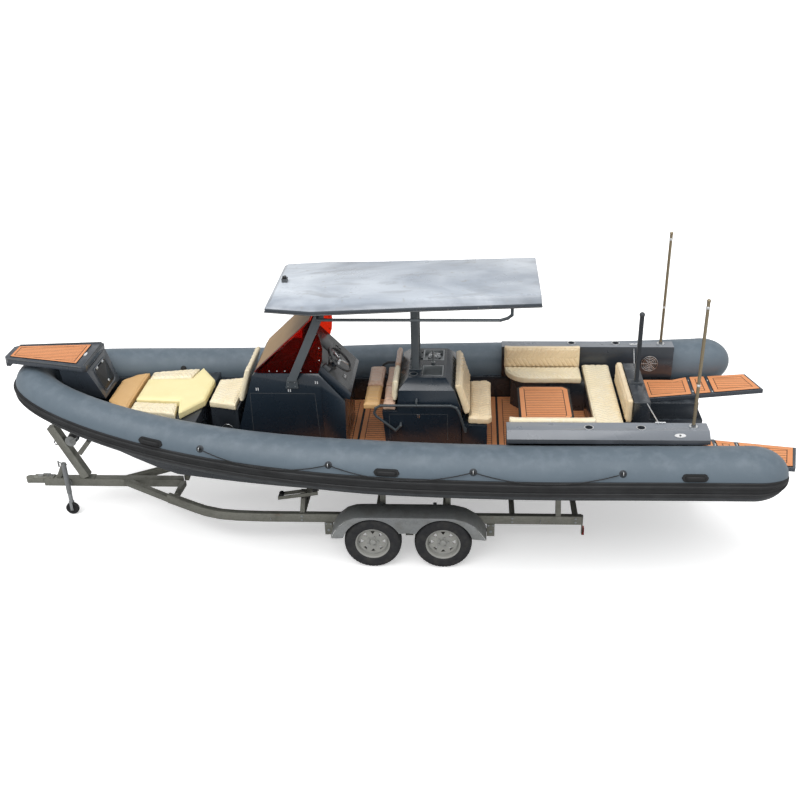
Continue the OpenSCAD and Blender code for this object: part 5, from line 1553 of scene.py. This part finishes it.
def seen_as(tree, seen, hidden):
    """One value for what the camera and reflections see, and another for what lights the object."""
    path = tree.nodes.new("ShaderNodeLightPath")
    both = tree.nodes.new("ShaderNodeMath")
    both.operation = "MAXIMUM"
    tree.links.new(path.outputs["Is Camera Ray"], both.inputs[0])
    tree.links.new(path.outputs["Is Transmission Ray"], both.inputs[1])
    mix = tree.nodes.new("ShaderNodeMapRange")
    mix.inputs["To Min"].default_value = hidden
    mix.inputs["To Max"].default_value = seen
    tree.links.new(both.outputs[0], mix.inputs["Value"])
    return mix.outputs["Result"]


def stage():
    world = bpy.data.worlds.new("studio")
    bpy.context.scene.world = world
    world.use_nodes = True
    back = world.node_tree.nodes["Background"]
    back.inputs["Color"].default_value = (1, 1, 1, 1)
    world.node_tree.links.new(seen_as(world.node_tree, 1.0, 0.58), back.inputs["Strength"])
    mesh = bpy.data.meshes.new("floor")
    mesh.from_pydata([(-60, -60, 0), (60, -60, 0), (60, 60, 0), (-60, 60, 0)], [], [(0, 1, 2, 3)])
    floor = bpy.data.objects.new("floor", mesh)
    floor.location.z = -0.0015
    bpy.context.scene.collection.objects.link(floor)
    pale = bpy.data.materials.new("floor_white")
    pale.use_nodes = True
    shader = pale.node_tree.nodes["Principled BSDF"]
    shader.inputs["Roughness"].default_value = 0.9
    shader.inputs["Specular IOR Level"].default_value = 0.0
    pale.node_tree.links.new(seen_as(pale.node_tree, 1.0, 0.55), shader.inputs["Base Color"])
    shader.inputs["Emission Color"].default_value = (1, 1, 1, 1)
    pale.node_tree.links.new(seen_as(pale.node_tree, 0.4, 0.0), shader.inputs["Emission Strength"])
    mesh.materials.append(pale)


def sun(name, strength, spread, tilt, heading):
    light = bpy.data.lights.new(name, "SUN")
    light.energy = strength
    light.angle = math.radians(spread)
    obj = bpy.data.objects.new(name, light)
    obj.rotation_euler = (math.radians(tilt), 0, math.radians(heading))
    bpy.context.scene.collection.objects.link(obj)


def lights():
    sun("key_light", 1.75, 50, 26, 150)
    sun("fill_light", 0.55, 70, 58, 215)


def camera():
    """Looks down on the port side, at the photograph's angle."""
    place = Vector((-0.9775, 10.200, 6.988))
    yaw, pitch, roll = 0.049, 0.481, -0.018
    ahead = Vector((math.sin(yaw) * math.cos(pitch), -math.cos(yaw) * math.cos(pitch), -math.sin(pitch)))
    right = ahead.cross(UP).normalized()
    top = right.cross(ahead)
    across = right * math.cos(roll) + top * math.sin(roll)
    upward = top * math.cos(roll) - right * math.sin(roll)
    data = bpy.data.cameras.new("camera")
    data.sensor_width = 36
    data.lens = 44.61
    data.shift_x = -0.0357
    data.shift_y = -0.0079
    obj = bpy.data.objects.new("camera", data)
    obj.matrix_world = Matrix.Translation(place) @ Matrix((across, upward, -ahead)).transposed().to_4x4()
    bpy.context.scene.collection.objects.link(obj)
    bpy.context.scene.camera = obj


bpy.context.scene.view_settings.view_transform = "Standard"
camera()
lights()
stage()
cad_finishes()
collar()
strakes()
tube_hardware()
grab_line()
decking()
upholstery()
helm_and_roof()
ends()
trailer()
